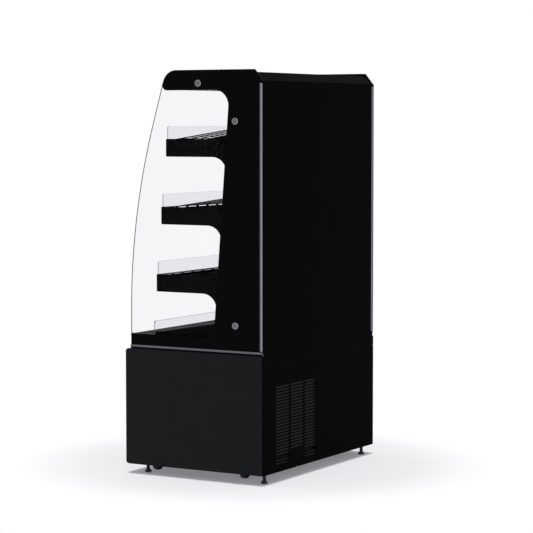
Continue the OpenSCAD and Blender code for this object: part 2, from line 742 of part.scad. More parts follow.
// Side glasses, their printed borders, edge trims and standoffs
function glass_corners() = [[glass_back, glass_bottom, 0], [glass_front, glass_bottom, 0],
    [glass_front, knee_z, glass_knee_r], [nose_depth, body_h, nose_r], [chamfer_w - over, body_h,
        glass_edge_r],
    [glass_back, body_h - chamfer_h, glass_edge_r]];
function glass_outline() = [for (i = [0:5]) let (c = glass_corners())
    each corner(xy(c[(i + 5) % 6]), xy(c[i]), xy(c[(i + 1) % 6]),
        c[i].z, i == 2 ? knee_steps : arc_steps)];
module side_glass() {
    color([0.8, 0.85, 0.85, 0.35]) difference() {
        side_plate(print_x, glass_t) polygon(glass_outline());
        stud_cuts(stud_d + 2 * stud_hole_play);
    }
}
module glass_border() {
    corners = [[glass_back, glass_bottom, 0], [glass_front, glass_bottom, 0],
        [glass_front, window_low, 0],
        [window_rear_low, window_low, window_r_low], [window_rear_top, window_top, window_r_top],
        [nose_low_depth, window_top, nose_low_r], [nose_depth, body_h, nose_r],
        [chamfer_w - over, body_h, glass_edge_r], [glass_back, body_h - chamfer_h, glass_edge_r]];
    color([0.03, 0.03, 0.03]) difference() {
        side_plate(print_x - print_t, print_t) polygon(rounded(corners, arc_steps + arc_steps / 2));
        stud_cuts(stud_d + 2 * stud_hole_play);
    }
}
sill_under = 3;
sill_bead = 7;
module sill_trim() {
    color("silver") translate([0, front_y, 0]) {
        start = glass_setback - lip_in;
        translate([0, start, 0]) rotate([-90, 0, 0]) mirror([0, 1]) linear_extrude(body_d - start)
            polygon(concat(rounded([[trim_in_x, sill_z, 0], [half_w - sill_under, sill_z, 1],
                [half_w, sill_z + sill_bead, trim_round], [half_w, sill_top, trim_round],
                [glass_x + play, sill_top, 0]]),
                [[glass_x + play, sill_z + sill_web], [lip_x, sill_z + sill_web], [lip_x, sill_top],
                [trim_in_x, sill_top]]));
    }
}
module post_trim() {
    top_round = 4;
    top_z = body_h - post_drop;
    y_in = rear_y + post_proud - post_w;
    color("silver") intersection() {
        translate([0, 0, sill_top + seat_gap]) linear_extrude(top_z - sill_top - seat_gap)
            polygon(rounded([[post_half, y_in, 0], [half_w, y_in, trim_round],
                [half_w, rear_y + post_end, trim_round], [post_half, rear_y + post_end, 0.5]]));
        side_plate(0, body_w) polygon(rounded([[-post_end - over, 0, 0], [post_w, 0, 0],
            [post_w - post_proud, top_z, top_round], [-post_end, top_z, top_round]]));
    }
}
module glass_standoffs() {
    rim = 1;
    sleeve_d = 18;
    color("lightgray") both_sides() for (p = stud_places) translate([0, at(p.x), p.y]) {
        translate([glass_x + play / 2, 0, 0]) rod_x(cap_d, cap_h - rim);
        translate([glass_x + play / 2 + cap_h - rim, 0, 0]) rotate([0, 90, 0])
            cylinder(d1 = cap_d, d2 = cap_d - 2 * rim, h = rim);
        translate([inner_x - stud_l, 0, 0]) rod_x(stud_d, stud_l + glass_x - inner_x + over);
        translate([inner_x + play / 2, 0, 0]) rod_x(sleeve_d, print_x - print_t - inner_x - play);
    }
}

// Shelves hooked into the uprights
bracket_in = 18;
bracket_x = half_w - bracket_in;
deck_half = bracket_x - bracket_t - seat_gap;
rise_depth = 112;
rise_r = 24;
bracket_rear_gap = 0.3;
bracket_leg_w = 15;
bracket_leg_h = 145;
bracket_r = 4;
deck_t = 1.2;
deck_cross = 248;
hook_drop = 40;
hook_pitch = 25;
hook_z = [-hook_drop, -hook_drop - 3 * hook_pitch];
hook_h = 12;
hook_reach = 6;
shelf_names = [0, 1, 2];
rail_depths = [224, 43];
rail_drop = 13.6;
bar_h = 25;
bar_w = 26;
front_bar_h = 16;
function shelf_z(k) = tub_top + shelf_first_h + k * shelf_pitch;
function deck_z(d) = max(0, (deck_cross - d) * tan(deck_tilt));
hook_start = (shelf_first_h + hook_z[0]) / cos(lean) - (upright_slot_h - hook_h) / 2;
module shelf_at(k) { translate([0, -duct_depth(shelf_z(k)), shelf_z(k)]) children(); }
module bracket_plate() {
    g = bracket_rear_gap;
    t = tan(lean);
    color([0.07, 0.07, 0.07]) difference() {
        union() {
            side_plate(bracket_x - bracket_t, bracket_t) polygon(rounded([[shelf_depth, 0, bracket_r],
                [shelf_depth, -bracket_h, bracket_r],
                    [bracket_h * t + bracket_leg_w, -bracket_h, gusset_r],
                [bracket_leg_h * t + bracket_leg_w, -bracket_leg_h, bracket_r],
                [bracket_leg_h * t + g, -bracket_leg_h, bracket_r],
                [g - rise_depth * tan(deck_tilt) * t, rise_depth * tan(deck_tilt), 1],
                [rise_depth, 0, rise_r]]));
            for (z = hook_z) side_plate(bracket_x - bracket_t, bracket_t)
                polygon([[-z * t + 2 * over, z], [-z * t - hook_reach, z],
                    [-z * t - hook_reach, z + hook_h], [-z * t - hook_h * t + 2 * over, z + hook_h]]);
        }
        for (d = rail_depths) translate([bracket_x - bracket_t - over, rear_y - d, -rail_drop])
            rod_x(screw_d + 2 * play, bracket_t + 2 * over);
    }
}
module shelf_brackets(k) { both_sides() shelf_at(k) bracket_plate(); }
module shelf_screw_set(k) {
    head_h = 1.5;
    head_d = 8;
    color("dimgray") both_sides() shelf_at(k) for (d = rail_depths) translate([0, rear_y - d,
        -rail_drop]) {
        translate([bracket_x - bracket_t - screw_l, 0, 0]) rod_x(screw_d, screw_l + bracket_t);
        translate([bracket_x, 0, 0]) rotate([0, 90, 0]) cylinder(d1 = head_d, d2 = head_d - head_h,
            h = head_h);
    }
}

// A deck: sloping slotted sheet on two cross bars, with a front apron that holds the riser
slot_bridge = 18;
row_pitch = 23;
row_slot = 17;
row_front = 209;
row_front_slot = 27;
deck_rows = 8;
apron_low = 62;
apron_t = 1.5;
apron_foot = 30;
apron_lip = 8;
window_h = 4.8;
window_drop = 0.5;
riser_in = 2;
function slot_x(half, pitch) = let (cols = floor((2 * half - slot_bridge) / pitch))
    [for (i = [0:cols - 1]) (i - cols / 2) * pitch + slot_bridge / 2];
module slot_rows(half, rows, front, pitch_x) {
    for (x = slot_x(half, pitch_x)) {
        translate([x, front]) square([pitch_x - slot_bridge, row_front_slot]);
        for (k = [1:rows]) translate([x, front - k * row_pitch]) square([pitch_x - slot_bridge,
            row_slot]);
    }
}
module deck_slots(half, d0, z0, rows, front, tilt) {
    translate([0, rear_y - d0, z0]) rotate([tilt - 180, 0, 0]) translate([0, 0, -over])
        linear_extrude(deck_t + 2 * over) slot_rows(half, rows, front, deck_slot_pitch);
}
deck_rear = 5;
channel_w = riser_t + 2 * play;
channel_d = apron_t + channel_w;
deck_low = -rail_drop - bar_h / 2;
function deck_under(d) = deck_z(d) - deck_t / cos(deck_tilt);
// Side profile of a deck in one line: apron, riser channel, flat front, slope, rear flange with its
// rail, and the front rail on its own flange
function deck_profile() = let (d = shelf_depth, c = shelf_depth - channel_d, back = c - apron_t,
    r0 = rail_depths[1] - bar_w / 2,
        r1 = rail_depths[1] + bar_w / 2, f0 = rail_depths[0] - bar_w / 2,
            f1 = rail_depths[0] + bar_w / 2)
    [[d, -apron_low], [d, -apron_lip], [d - apron_t, -apron_lip], [d - apron_t, -apron_foot],
        [c, -apron_foot],
    [c, 0], [deck_cross, 0], [deck_rear, deck_z(deck_rear)], [deck_rear, deck_low], [r1, deck_low],
    [r1, deck_low + bar_h], [r0, deck_low + bar_h], [r0, deck_low + deck_t],
    [deck_rear + deck_t, deck_low + deck_t], [deck_rear + deck_t, deck_under(deck_rear + deck_t)],
    [deck_cross - deck_t * tan(deck_tilt / 2), -deck_t], [back, -deck_t], [back, deck_low + deck_t],
    [f1, deck_low + deck_t], [f1, deck_low + front_bar_h], [f0, deck_low + front_bar_h], [f0, deck_low],
    [back, deck_low], [back, -apron_foot - apron_t],
    [d - apron_t, -apron_foot - apron_t], [d - apron_t, -apron_low]];
module shelf_deck(k) {
    color([0.09, 0.09, 0.09]) shelf_at(k) difference() {
        side_plate(-deck_half, 2 * deck_half) polygon(deck_profile());
        deck_slots(deck_half, deck_rear, deck_z(deck_rear), deck_rows, row_front - deck_rear, deck_tilt);
        for (x = slot_x(deck_half, deck_slot_pitch)) translate([x, rear_y - shelf_depth + channel_d - over,
            -deck_t - window_drop - window_h])
                cube([deck_slot_pitch - slot_bridge, apron_t + 2 * over, window_h]);
        both_sides() for (d = rail_depths) translate([deck_half - screw_l - over, rear_y - d,
            -rail_drop])
            rod_x(screw_d + 2 * play, screw_l + 2 * over);
    }
}
riser_corner = 9;
module riser_sheet(d, z_low, z_top) {
    half = bracket_x - riser_in - bracket_t;
    color([0.85, 0.87, 0.88, 0.4]) rear_sheet(rear_y - d + riser_t, riser_t)
        polygon(rounded([[-half, z_low, 0], [half, z_low, 0], [half, z_top, riser_corner],
            [-half, z_top, riser_corner]]));
}
module shelf_riser(k) { shelf_at(k) riser_sheet(shelf_depth - apron_t - play, -apron_foot + play,
    riser_h); }

// Bottom deck over the tub, its riser and the return air grille
bottom_front_in = 85.5;
bottom_front = tub_front_d - bottom_front_in;
bottom_lip_z = 12;
bottom_flat = 30;
bottom_tilt = 9.6;
bottom_rows = 9;
bottom_first = 232;
bottom_rear = duct_depth(tub_top + duct_low) + seat_gap;
bottom_riser_h = 50;
module bottom_deck() {
    foot = tub_top + seat_gap;
    back = bottom_rear + deck_t;
    knee = bottom_front - bottom_flat;
    c = bottom_front - channel_d;
    t = deck_t;
    z_front = foot + bottom_lip_z;
    z_back = z_front + (knee - back) * tan(bottom_tilt);
    under_back = z_back - t * tan(bottom_tilt) - t / cos(bottom_tilt);
    color([0.09, 0.09, 0.09]) difference() {
        side_plate(-deck_half, 2 * deck_half) polygon([[bottom_front, foot],
            [bottom_front, foot + over + t],
            [c + channel_w, foot + over + t], [c + channel_w, foot + t], [c, foot + t], [c, z_front],
            [knee, z_front], [back, z_back], [back, foot]]);
        side_plate(-deck_half + t, 2 * (deck_half - t)) polygon([[c - t, foot - over],
            [c - t, z_front - t],
            [knee - t * tan(bottom_tilt / 2), z_front - t], [back + t, under_back],
                [back + t, foot - over]]);
        deck_slots(deck_half, back, z_back, bottom_rows, bottom_first, bottom_tilt);
    }
}
module bottom_riser() {
    riser_sheet(bottom_front - apron_t - play, tub_top + seat_gap + deck_t + play,
        tub_top + bottom_riser_h);
}
return_slot_w = 5;
return_pitch = 11;
return_margin = 9;
return_flange = 12;
module return_grille() {
    d0 = bottom_front + seat_gap;
    d1 = tub_front_d;
    half = deck_half;
    count = floor((2 * half - 2 * return_margin) / return_pitch);
    z = tub_top + seat_gap;
    color([0.12, 0.12, 0.12]) {
        translate([0, 0, z]) linear_extrude(deck_t) difference() {
            translate([-half, at(d1)]) square([2 * half, d1 - d0]);
            for (i = [0:count - 1]) translate([(i - (count - 1) / 2) * return_pitch - return_slot_w / 2,
                at(d1) + return_margin + tub_lip_w / 4])
                    square([return_slot_w, d1 - d0 - 3 * return_margin]);
        }
        block(-tub_in_x + over, tub_in_x - over, at(d0) - deck_t, at(d0), z - return_flange,
            z + deck_t / 2);
        block(-tub_in_x + over, tub_in_x - over, at(tub_in_front) + over,
            at(tub_in_front) + over + deck_t,
            z - return_flange, z + deck_t / 2);
    }
}

// Evaporator in the tub: finned coil, fan plate and fan
evap_side = 69.9;
evap_half = tub_in_x - evap_side;
evap_d0 = 90;
evap_d1 = 178;
evap_h = 78;
evap_lift = 6;
fin_pitch = 12;
fin_t = 2;
end_t = 2;
tube_d = 9;
floor_z = tub_bottom + tub_floor;
// A comb outline: fins on both sides of a core
function comb(half, depth, pitch, fin, core) = let (n = floor(2 * half / pitch), x0 = -n * pitch / 2)
    concat([for (i = [0:n - 1]) let (x = x0 + i * pitch)
        each [[x, core / 2], [x, depth / 2], [x + fin, depth / 2],
        [x + fin, core / 2]]],
    [for (i = [n - 1:-1:0]) let (x = x0 + i * pitch) each [[x + fin, -core / 2], [x + fin, -depth / 2],
        [x, -depth / 2], [x, -core / 2]]]);
module evaporator_coil() {
    mid = at((evap_d0 + evap_d1) / 2);
    w = evap_d1 - evap_d0;
    fin_core = 30;
    bend_r = 14;
    color("silver") {
        translate([0, mid, floor_z + evap_lift]) linear_extrude(evap_h)
            polygon(comb(evap_half, w, fin_pitch, fin_t, fin_core));
        for (s = [-1, 1]) block(min(s * evap_half, s * (evap_half + end_t)), max(s * evap_half,
            s * (evap_half + end_t)),
            mid - w / 2, mid + w / 2, floor_z + seat_gap, floor_z + evap_lift + evap_h);
        block(-evap_half, evap_half, mid - fin_core / 2, mid + fin_core / 2, floor_z + evap_lift,
            floor_z + evap_h / 2);
    }
    color("peru") for (s = [-1, 1]) translate([s * (evap_half + end_t / 2), mid, floor_z + evap_h / 2])
        rotate([0, s * 90, 0]) rotate([90, 0, 90]) rotate_extrude(angle = 180) translate([bend_r, 0])
            circle(d = tube_d);
}
fan_r = 43;
fan_x = 0;
fan_hub_r = 17;
fan_up = 49;
fan_z = floor_z + fan_up;
fan_depth = 225;
fan_t = 18;
shaft_d = 5;
fan_tip_gap = 3;
module fan_rotor(tip_r, hub_r, l, blades, pitch, bore, chord_share) {
    difference() {
        union() {
            rod_y(2 * hub_r, l);
            intersection() {
                for (i = [0:blades - 1]) rotate([0, i * 360 / blades, 0]) translate([0, l / 2, 0])
                    rotate([0, 0, pitch])
                    translate([-tip_r * chord_share / 2, -over, hub_r - over])
                        cube([tip_r * chord_share, 2 * over, tip_r]);
                rod_y(2 * tip_r, l);
            }
        }
        translate([0, -over, 0]) rod_y(bore + 2 * run_gap, l - over);
    }
}
module evaporator_fan_plate() {
    plate_t = 2;
    y = at(fan_depth);
    motor_l = 22;
    motor_d = 34;
    arm_w = 6;
    color("silver") {
        difference() {
            block(-tub_in_x + over, tub_in_x - over, y, y + plate_t, floor_z + seat_gap, tub_top - over);
            translate([fan_x, y - over, fan_z]) rod_y(2 * (fan_r + fan_tip_gap), plate_t + 2 * over);
        }
        for (a = [0, 90]) translate([fan_x, y + plate_t / 2 + fan_t, fan_z]) rotate([0, a, 0])
            translate([-fan_r - 2 * fan_tip_gap, 0, -arm_w / 2])
                cube([2 * (fan_r + 2 * fan_tip_gap), plate_t, arm_w]);
        for (s = [-1, 1]) translate([fan_x + s * (fan_r + fan_tip_gap + arm_w / 2) - arm_w / 2,
            y + plate_t / 2, fan_z - arm_w / 2])
            cube([arm_w, fan_t + plate_t / 2, arm_w]);
        translate([fan_x, y + fan_t, fan_z]) rod_y(motor_d, motor_l);
        translate([fan_x, y + 3 * over, fan_z]) rod_y(shaft_d, fan_t - 2 * over);
    }
}
module evaporator_fan() {
    color("black") translate([fan_x, at(fan_depth) + fan_t - over, fan_z]) mirror([0, 1, 0])
        fan_rotor(fan_r, fan_hub_r, fan_t, 5, 24, shaft_d, 0.62);
}

// Condensing unit behind the rear grille
cond_left = 135;
cond_x0 = cable_x - cond_left;
cond_x1 = foot_x + rail_w / 2 - post_flange - over;
cond_z0 = rail_top + tray_t + seat_gap;
cond_head = 52.5;
cond_h = tub_bottom - cond_z0 - cond_head;
cond_depth = 14;
cond_t = 46;
cond_x = (cond_x0 + cond_x1) / 2;
cond_half = (cond_x1 - cond_x0) / 2;
cond_z = cond_z0 + cond_h / 2;
cond_pitch = 5;
cond_fin = 1;
module condenser_coil() {
    core = 12;
    bends = 5;
    bend_r = 11;
    color("silver") translate([cond_x, at(cond_depth + cond_t / 2), 0]) {
        translate([0, 0, cond_z0]) linear_extrude(cond_h)
            polygon(comb(cond_half - end_t, cond_t, cond_pitch, cond_fin, core));
        for (s = [-1, 1]) translate([s * (cond_half - end_t / 2) - end_t / 2, -cond_t / 2, cond_z0])
            cube([end_t, cond_t, cond_h]);
        block(-cond_half + end_t / 2, cond_half - end_t / 2, -core / 2, core / 2, cond_z0,
            cond_z0 + end_t);
        block(-cond_half + end_t / 2, cond_half - end_t / 2, -core / 2, core / 2,
            cond_z0 + cond_h - end_t, cond_z0 + cond_h);
    }
    color("peru") for (i = [0:bends - 1]) translate([cond_x0 + end_t / 2, at(cond_depth + cond_t / 2),
        cond_z0 + cond_h * (i + 1 / 2) / bends]) rotate([0, -90, 0]) rotate([90, 0, 90])
        rotate_extrude(angle = 180) translate([bend_r, 0]) circle(d = tube_d);
}
shroud_l = 40;
cfan_r = 108;
cfan_hub_r = 27;
cfan_l = 30;
cfan_gap = 5;
shroud_y = at(cond_depth + cond_t) - seat_gap;
cfan_y = shroud_y - shroud_l - cfan_l / 2;
motor_d = 72;
motor_l = 46;
cshaft_d = 8;
module condenser_shroud() {
    t = 2;
    arm_w = 12;
    ring_t = 3;
    motor_y = cfan_y - motor_l - fan_t / 3;
    color([0.7, 0.71, 0.72]) {
        difference() {
            block(cond_x0, cond_x1, shroud_y - shroud_l, shroud_y, cond_z0, cond_z0 + cond_h);
            block(cond_x0 + t, cond_x1 - t, shroud_y - shroud_l + t, shroud_y + over, cond_z0 + t,
                cond_z0 + cond_h - t);
            translate([cond_x, shroud_y - shroud_l - over, cond_z])
                rod_y(2 * (cfan_r + cfan_gap), shroud_l);
        }
        translate([cond_x, shroud_y - shroud_l - cfan_l / 2, cond_z]) difference() {
            rod_y(2 * (cfan_r + cfan_gap + ring_t), cfan_l / 2 + t / 2);
            translate([0, -over, 0]) rod_y(2 * (cfan_r + cfan_gap), cfan_l + over);
        }
        for (a = [45, 135]) translate([cond_x, motor_y + motor_l / 2, cond_z]) rotate([0, a, 0])
            translate([-cfan_r - cfan_gap - ring_t, 0, -arm_w / 2])
                cube([2 * (cfan_r + cfan_gap + ring_t), t, arm_w]);
        for (a = [45:90:315]) translate([cond_x, motor_y + motor_l / 2, cond_z]) rotate([0, a, 0])
            translate([cfan_r + cfan_gap, 0, -arm_w / 2])
                cube([ring_t, shroud_y - shroud_l - motor_y - motor_l / 2, arm_w]);
        translate([cond_x, motor_y, cond_z]) rod_y(motor_d, motor_l);
        translate([cond_x, motor_y + motor_l - over, cond_z]) rod_y(cshaft_d, cfan_l);
    }
}
module condenser_fan() {
    color("black") translate([cond_x, cfan_y, cond_z]) fan_rotor(cfan_r, cfan_hub_r, cfan_l, 5, 26,
        cshaft_d, 0.66);
}

// Compressor pot on its base plate
pan_w = 120;
pan_gap = 2;
pan_x = -foot_x + rail_w / 2 + pan_gap;
condensate_x1 = pan_x + pan_w;
comp_off = 10.25;
comp_x = (condensate_x1 + cond_x0) / 2 - comp_off;
comp_depth = 330;
comp_d = 150;
comp_h = 175;
comp_z = rail_top + tray_t + seat_gap;
module compressor() {
    plate_t = 3;
    plate_w = 190;
    mount_d = 22;
    mount_h = 18;
    seam_w = 4;
    box_w = 56;
    box_h = 60;
    box_d = 24;
    dome = 38;
    z0 = comp_z + mount_h;
    color([0.08, 0.08, 0.08]) translate([comp_x, at(comp_depth), 0]) {
        for (sx = [-1, 1], sy = [-1, 1]) translate([sx * plate_w * 0.4, sy * plate_w * 0.4, comp_z])
            cylinder(d = mount_d, h = mount_h);
        translate([-plate_w / 2, -plate_w / 2, z0]) cube([plate_w, plate_w, plate_t]);
        translate([0, 0, z0 + plate_t / 2]) rotate_extrude($fn = 64) polygon(rounded([[0, 0, 0],
            [comp_d / 2, 0, dome / 2], [comp_d / 2, comp_h / 2, 0], [comp_d / 2 + seam_w, comp_h / 2, 0],
            [comp_d / 2 + seam_w, comp_h / 2 + seam_w, 0], [comp_d / 2, comp_h / 2 + seam_w, 0],
            [comp_d / 2, comp_h, dome], [0, comp_h, 0]]));
        translate([-box_w / 2, -comp_d / 2 - box_d + seam_w, z0 + comp_h / 4]) cube([box_w, box_d,
            box_h]);
    }
}

// Copper pipes between the compressor, the condenser and the evaporator
pipe_side = 28;
suction_x = -evap_half - pipe_side;
liquid_x = evap_half + pipe_side;
pipe_depth = (evap_d0 + evap_d1) / 2;
elbow = 1.2;
module pipe_leg(a, b) {
    v = b - a;
    translate(a) rotate([0, acos(v.z / norm(v)), atan2(v.y, v.x)]) cylinder(d = pipe_d, h = norm(v));
}
module pipe_run(points) {
    for (i = [0:len(points) - 2]) pipe_leg(points[i], points[i + 1]);
    for (i = [1:len(points) - 2]) translate(points[i]) sphere(d = pipe_d + 2 * elbow);
}
module refrigerant_pipes() {
    top_z = comp_z + comp_h;
    evap_z = floor_z + evap_h - pipe_d;
    run_z = tub_bottom - ring_h - 2 * pipe_d;
    color("peru") {
        pipe_run([[comp_x - comp_d / 2 - play, at(comp_depth), top_z - comp_h / 3],
            [suction_x, at(comp_depth), top_z - comp_h / 3], [suction_x, at(comp_depth), run_z],
            [suction_x, at(pipe_depth), run_z], [suction_x, at(pipe_depth), evap_z],
            [-evap_half - end_t - play, at(pipe_depth), evap_z]]);
        pipe_run([[evap_half + end_t + play, at(pipe_depth), evap_z], [liquid_x, at(pipe_depth),
            evap_z],
            [liquid_x, at(pipe_depth), run_z], [cond_x0 - 2 * pipe_d, at(pipe_depth), run_z],
            [cond_x0 - 2 * pipe_d, at(cond_depth + cond_t / 2), run_z],
            [cond_x0 - 2 * pipe_d, at(cond_depth + cond_t / 2), cond_z0 + cond_h - pipe_d],
            [cond_x0 - play, at(cond_depth + cond_t / 2), cond_z0 + cond_h - pipe_d]]);
    }
}

// Pan that catches the defrost water
pan_l = 250;
pan_h = 46;
pan_t = 2;
pan_depth = 60;
module condensate_pan() {
    color("silver") difference() {
        block(pan_x, pan_x + pan_w, at(pan_depth + pan_l), at(pan_depth), comp_z, comp_z + pan_h);
        block(pan_x + pan_t, pan_x + pan_w - pan_t, at(pan_depth + pan_l) + pan_t, at(pan_depth) - pan_t,
            comp_z + pan_t, comp_z + pan_h + over);
    }
}

base_frame();
castor_plates();
base_side_panel();  // base_side_panel_right
mirror([1, 0, 0]) base_side_panel();  // base_side_panel_left
base_front_panel();
rear_lower_panel();
rear_upper_panel();
panel_screws();
cable_grommet();
tub();
back_wall();
duct_panel();
canopy();
air_honeycomb();
canopy_light();
side_glass();  // side_glass_right
mirror([1, 0, 0]) side_glass();  // side_glass_left
glass_border();  // glass_border_right
mirror([1, 0, 0]) glass_border();  // glass_border_left
sill_trim();  // sill_trim_right
mirror([1, 0, 0]) sill_trim();  // sill_trim_left
post_trim();  // post_trim_right
mirror([1, 0, 0]) post_trim();  // post_trim_left
glass_standoffs();
shelf_uprights();
shelf_brackets(2);  // shelf_top_brackets
shelf_deck(2);  // shelf_top_deck
shelf_riser(2);  // shelf_top_riser
shelf_brackets(1);  // shelf_middle_brackets
shelf_deck(1);  // shelf_middle_deck
shelf_riser(1);  // shelf_middle_riser
shelf_brackets(0);  // shelf_lower_brackets
shelf_deck(0);  // shelf_lower_deck
shelf_riser(0);  // shelf_lower_riser
for (k = shelf_names) shelf_screw_set(k);  // shelf_screws
bottom_deck();
bottom_riser();
return_grille();
evaporator_coil();
evaporator_fan_plate();
evaporator_fan();
refrigerant_pipes();
compressor();
condenser_coil();
condenser_shroud();
condenser_fan();
condensate_pan();
controller();
foot(foot_places[0]);  // foot_front_right
foot(foot_places[1]);  // foot_front_left
foot(foot_places[2]);  // foot_rear_right
foot(foot_places[3]);  // foot_rear_left
castor_fork(castor_places[0], 1);  // castor_fork_front_right
castor_fork(castor_places[1], -1);  // castor_fork_front_left
castor_fork(castor_places[2], 1);  // castor_fork_rear_right
castor_fork(castor_places[3], -1);  // castor_fork_rear_left
castor_wheel(castor_places[0], 1);  // castor_wheel_front_right
castor_wheel(castor_places[1], -1);  // castor_wheel_front_left
castor_wheel(castor_places[2], 1);  // castor_wheel_rear_right
castor_wheel(castor_places[3], -1);  // castor_wheel_rear_left
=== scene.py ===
"""Dresses an open refrigerated display cabinet and sets it in a plain studio.

The cabinet's solids are loaded as a fixed frame, in metres, with the open front towards -Y and the
floor at Z = 0. Side outlines are written as (depth forward of the rear panels, height), in millimetres,
in the way that a sheet metal drawing of the side would give them.
"""

import json
import logging
import math
from dataclasses import dataclass, field
from enum import Enum
from typing import ClassVar, Optional, Sequence, Union

import bmesh
import bpy
import numpy as np
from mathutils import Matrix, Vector


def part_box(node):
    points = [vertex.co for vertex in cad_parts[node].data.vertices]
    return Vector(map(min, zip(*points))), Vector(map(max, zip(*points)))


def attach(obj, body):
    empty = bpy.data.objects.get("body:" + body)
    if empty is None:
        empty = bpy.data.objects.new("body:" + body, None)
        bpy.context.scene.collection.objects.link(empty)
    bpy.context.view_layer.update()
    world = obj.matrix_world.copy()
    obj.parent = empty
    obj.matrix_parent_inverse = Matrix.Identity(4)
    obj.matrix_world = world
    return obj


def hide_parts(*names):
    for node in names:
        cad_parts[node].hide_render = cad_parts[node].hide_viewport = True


LOG = logging.getLogger("cabinet")
MM = 0.001
CABINET = "cabinet"
# Rows that stand a shape drawn in X and Y up in X and Z
UPRIGHT = ((1, 0, 0), (0, 0, -1), (0, 1, 0))
# Rows that lay the Z axis of a turned shape along Y, and along X
AXIS_TO_Y = ((1, 0, 0), (0, 0, 1), (0, -1, 0))
AXIS_TO_X = ((0, 0, 1), (1, 0, 0), (0, 1, 0))
# Rows that take (depth, height, across) to X, Y and Z
SIDE_ROWS = ((0, 0, 1), (-1, 0, 0), (0, 1, 0))


# Materials

def linear(code: str) -> tuple:
    """Turns an sRGB hex colour to linear light.

    Args:
        code: Six hex digits, such as "1A1B1D".

    Returns:
        Red, green, blue and an alpha of one.
    """
    part = np.array([int(code[i:i + 2], 16) for i in (0, 2, 4)]) / 255.0
    low, high = part / 12.92, ((part + 0.055) / 1.055) ** 2.4
    return (*np.where(part <= 0.04045, low, high).tolist(), 1.0)


def new_material(name: str) -> bpy.types.Material:
    """Returns a new material with an empty node tree."""
    mat = bpy.data.materials.new(name)
    mat.use_nodes = True
    mat.node_tree.nodes.clear()
    return mat


def new_object(name: str, data: bpy.types.ID) -> bpy.types.Object:
    """Returns a new object of the scene that shows some data."""
    thing = bpy.data.objects.new(name, data)
    bpy.context.scene.collection.objects.link(thing)
    return thing


def add(mat: bpy.types.Material, kind: str, links: Optional[dict] = None, **settings) -> bpy.types.Node:
    """Adds a shader node with its settings and its links.

    Args:
        mat: The material, or the world, to add to.
        kind: The node's type name.
        links: Input name or number to a value or to another node's output socket.
        **settings: Attributes of the node, such as operation="MULTIPLY".

    Returns:
        The new node.
    """
    node = mat.node_tree.nodes.new(kind)
    for key, value in settings.items():
        setattr(node, key, value)
    for key, value in (links or {}).items():
        if isinstance(value, bpy.types.NodeSocket):
            mat.node_tree.links.new(value, node.inputs[key])
        else:
            node.inputs[key].default_value = value
    return node


class Grain(Enum):
    """How the pattern of a finish lies on the piece."""

    EVEN = (1.0, 1.0, 1.0)
    ALONG_Y = (1.0, 0.03, 1.0)
    ALONG_Z = (1.0, 1.0, 0.03)


@dataclass(frozen=True)
class Finish:
    """An opaque surface finish: a base colour with a fine pattern, a roughness range and a bump.

    Attributes:
        name: The real material and how its surface was made.
        colour: sRGB hex of the surface.
        tint: sRGB hex of the pattern's darker or lighter parts.
        metallic: One for bare metal.
        roughness: Lowest and highest roughness over the pattern.
        specular: Specular level of the top surface.
        pitch: Size of the pattern in millimetres.
        bump: Height of the pattern in millimetres.
        grain: Direction that the pattern is drawn out in.
        coat: Weight of a clear top coat.
    """

    name: str
    colour: str
    tint: str
    metallic: float = 0.0
    roughness: tuple = (0.4, 0.5)
    specular: float = 0.5
    pitch: float = 1.0
    bump: float = 0.01
    grain: Grain = Grain.EVEN
    coat: float = 0.0

    def pattern(self, mat: bpy.types.Material, place: bpy.types.NodeSocket) -> bpy.types.NodeSocket:
        """Adds the finish's pattern and returns its value socket."""
        return add(mat, "ShaderNodeTexNoise", {"Vector": place, "Scale": 1.0, "Detail": 3.0,
                                               "Roughness": 0.6}).outputs["Fac"]

    def build(self) -> bpy.types.Material:
        """Builds the material.

        Returns:
            A material whose colour, roughness and bump follow the pattern on Object coordinates.
        """
        mat = new_material(self.name)
        scale = tuple(g / (self.pitch * MM) for g in self.grain.value)
        place = add(mat, "ShaderNodeTexCoord").outputs["Object"]
        fine = add(mat, "ShaderNodeMapping", {"Vector": place, "Scale": scale}).outputs["Vector"]
        value = self.pattern(mat, fine)
        # A slow change over a hand's width keeps large panels from looking like paper
        slow = add(mat, "ShaderNodeTexNoise", {"Vector": place, "Scale": 7.0, "Detail": 2.0}).outputs["Fac"]
        both = add(mat, "ShaderNodeMath", {0: value, 1: slow}, operation="MULTIPLY").outputs[0]
        span = add(mat, "ShaderNodeMapRange", {"Value": both, "From Min": 0.1, "From Max": 0.45}).outputs[0]
        colour = add(mat, "ShaderNodeMix", {"Factor": span, "A": linear(self.colour), "B": linear(self.tint)},
                     data_type="RGBA").outputs["Result"]
        rough = add(mat, "ShaderNodeMapRange", {"Value": span, "To Min": self.roughness[0],
                                                "To Max": self.roughness[1]}).outputs[0]
        bump = add(mat, "ShaderNodeBump", {"Strength": 0.6, "Distance": self.bump * MM, "Height": value})
        surface = add(mat, "ShaderNodeBsdfPrincipled", {
            "Base Color": colour, "Roughness": rough, "Metallic": self.metallic,
            "Specular IOR Level": self.specular, "Coat Weight": self.coat, "Coat Roughness": 0.08,
            "Normal": bump.outputs[0]})
        add(mat, "ShaderNodeOutputMaterial", {"Surface": surface.outputs[0]})
        mat.diffuse_color = linear(self.colour)
        return mat


@dataclass(frozen=True)
class Spangle(Finish):
    """Zinc coated sheet: flat crystals of slightly different grey."""

    def pattern(self, mat: bpy.types.Material, place: bpy.types.NodeSocket) -> bpy.types.NodeSocket:
        """Adds crystal cells and returns their value socket."""
        cell = add(mat, "ShaderNodeTexVoronoi", {"Vector": place, "Scale": 1.0}, feature="F1")
        return add(mat, "ShaderNodeSeparateColor", {"Color": cell.outputs["Color"]}).outputs[0]


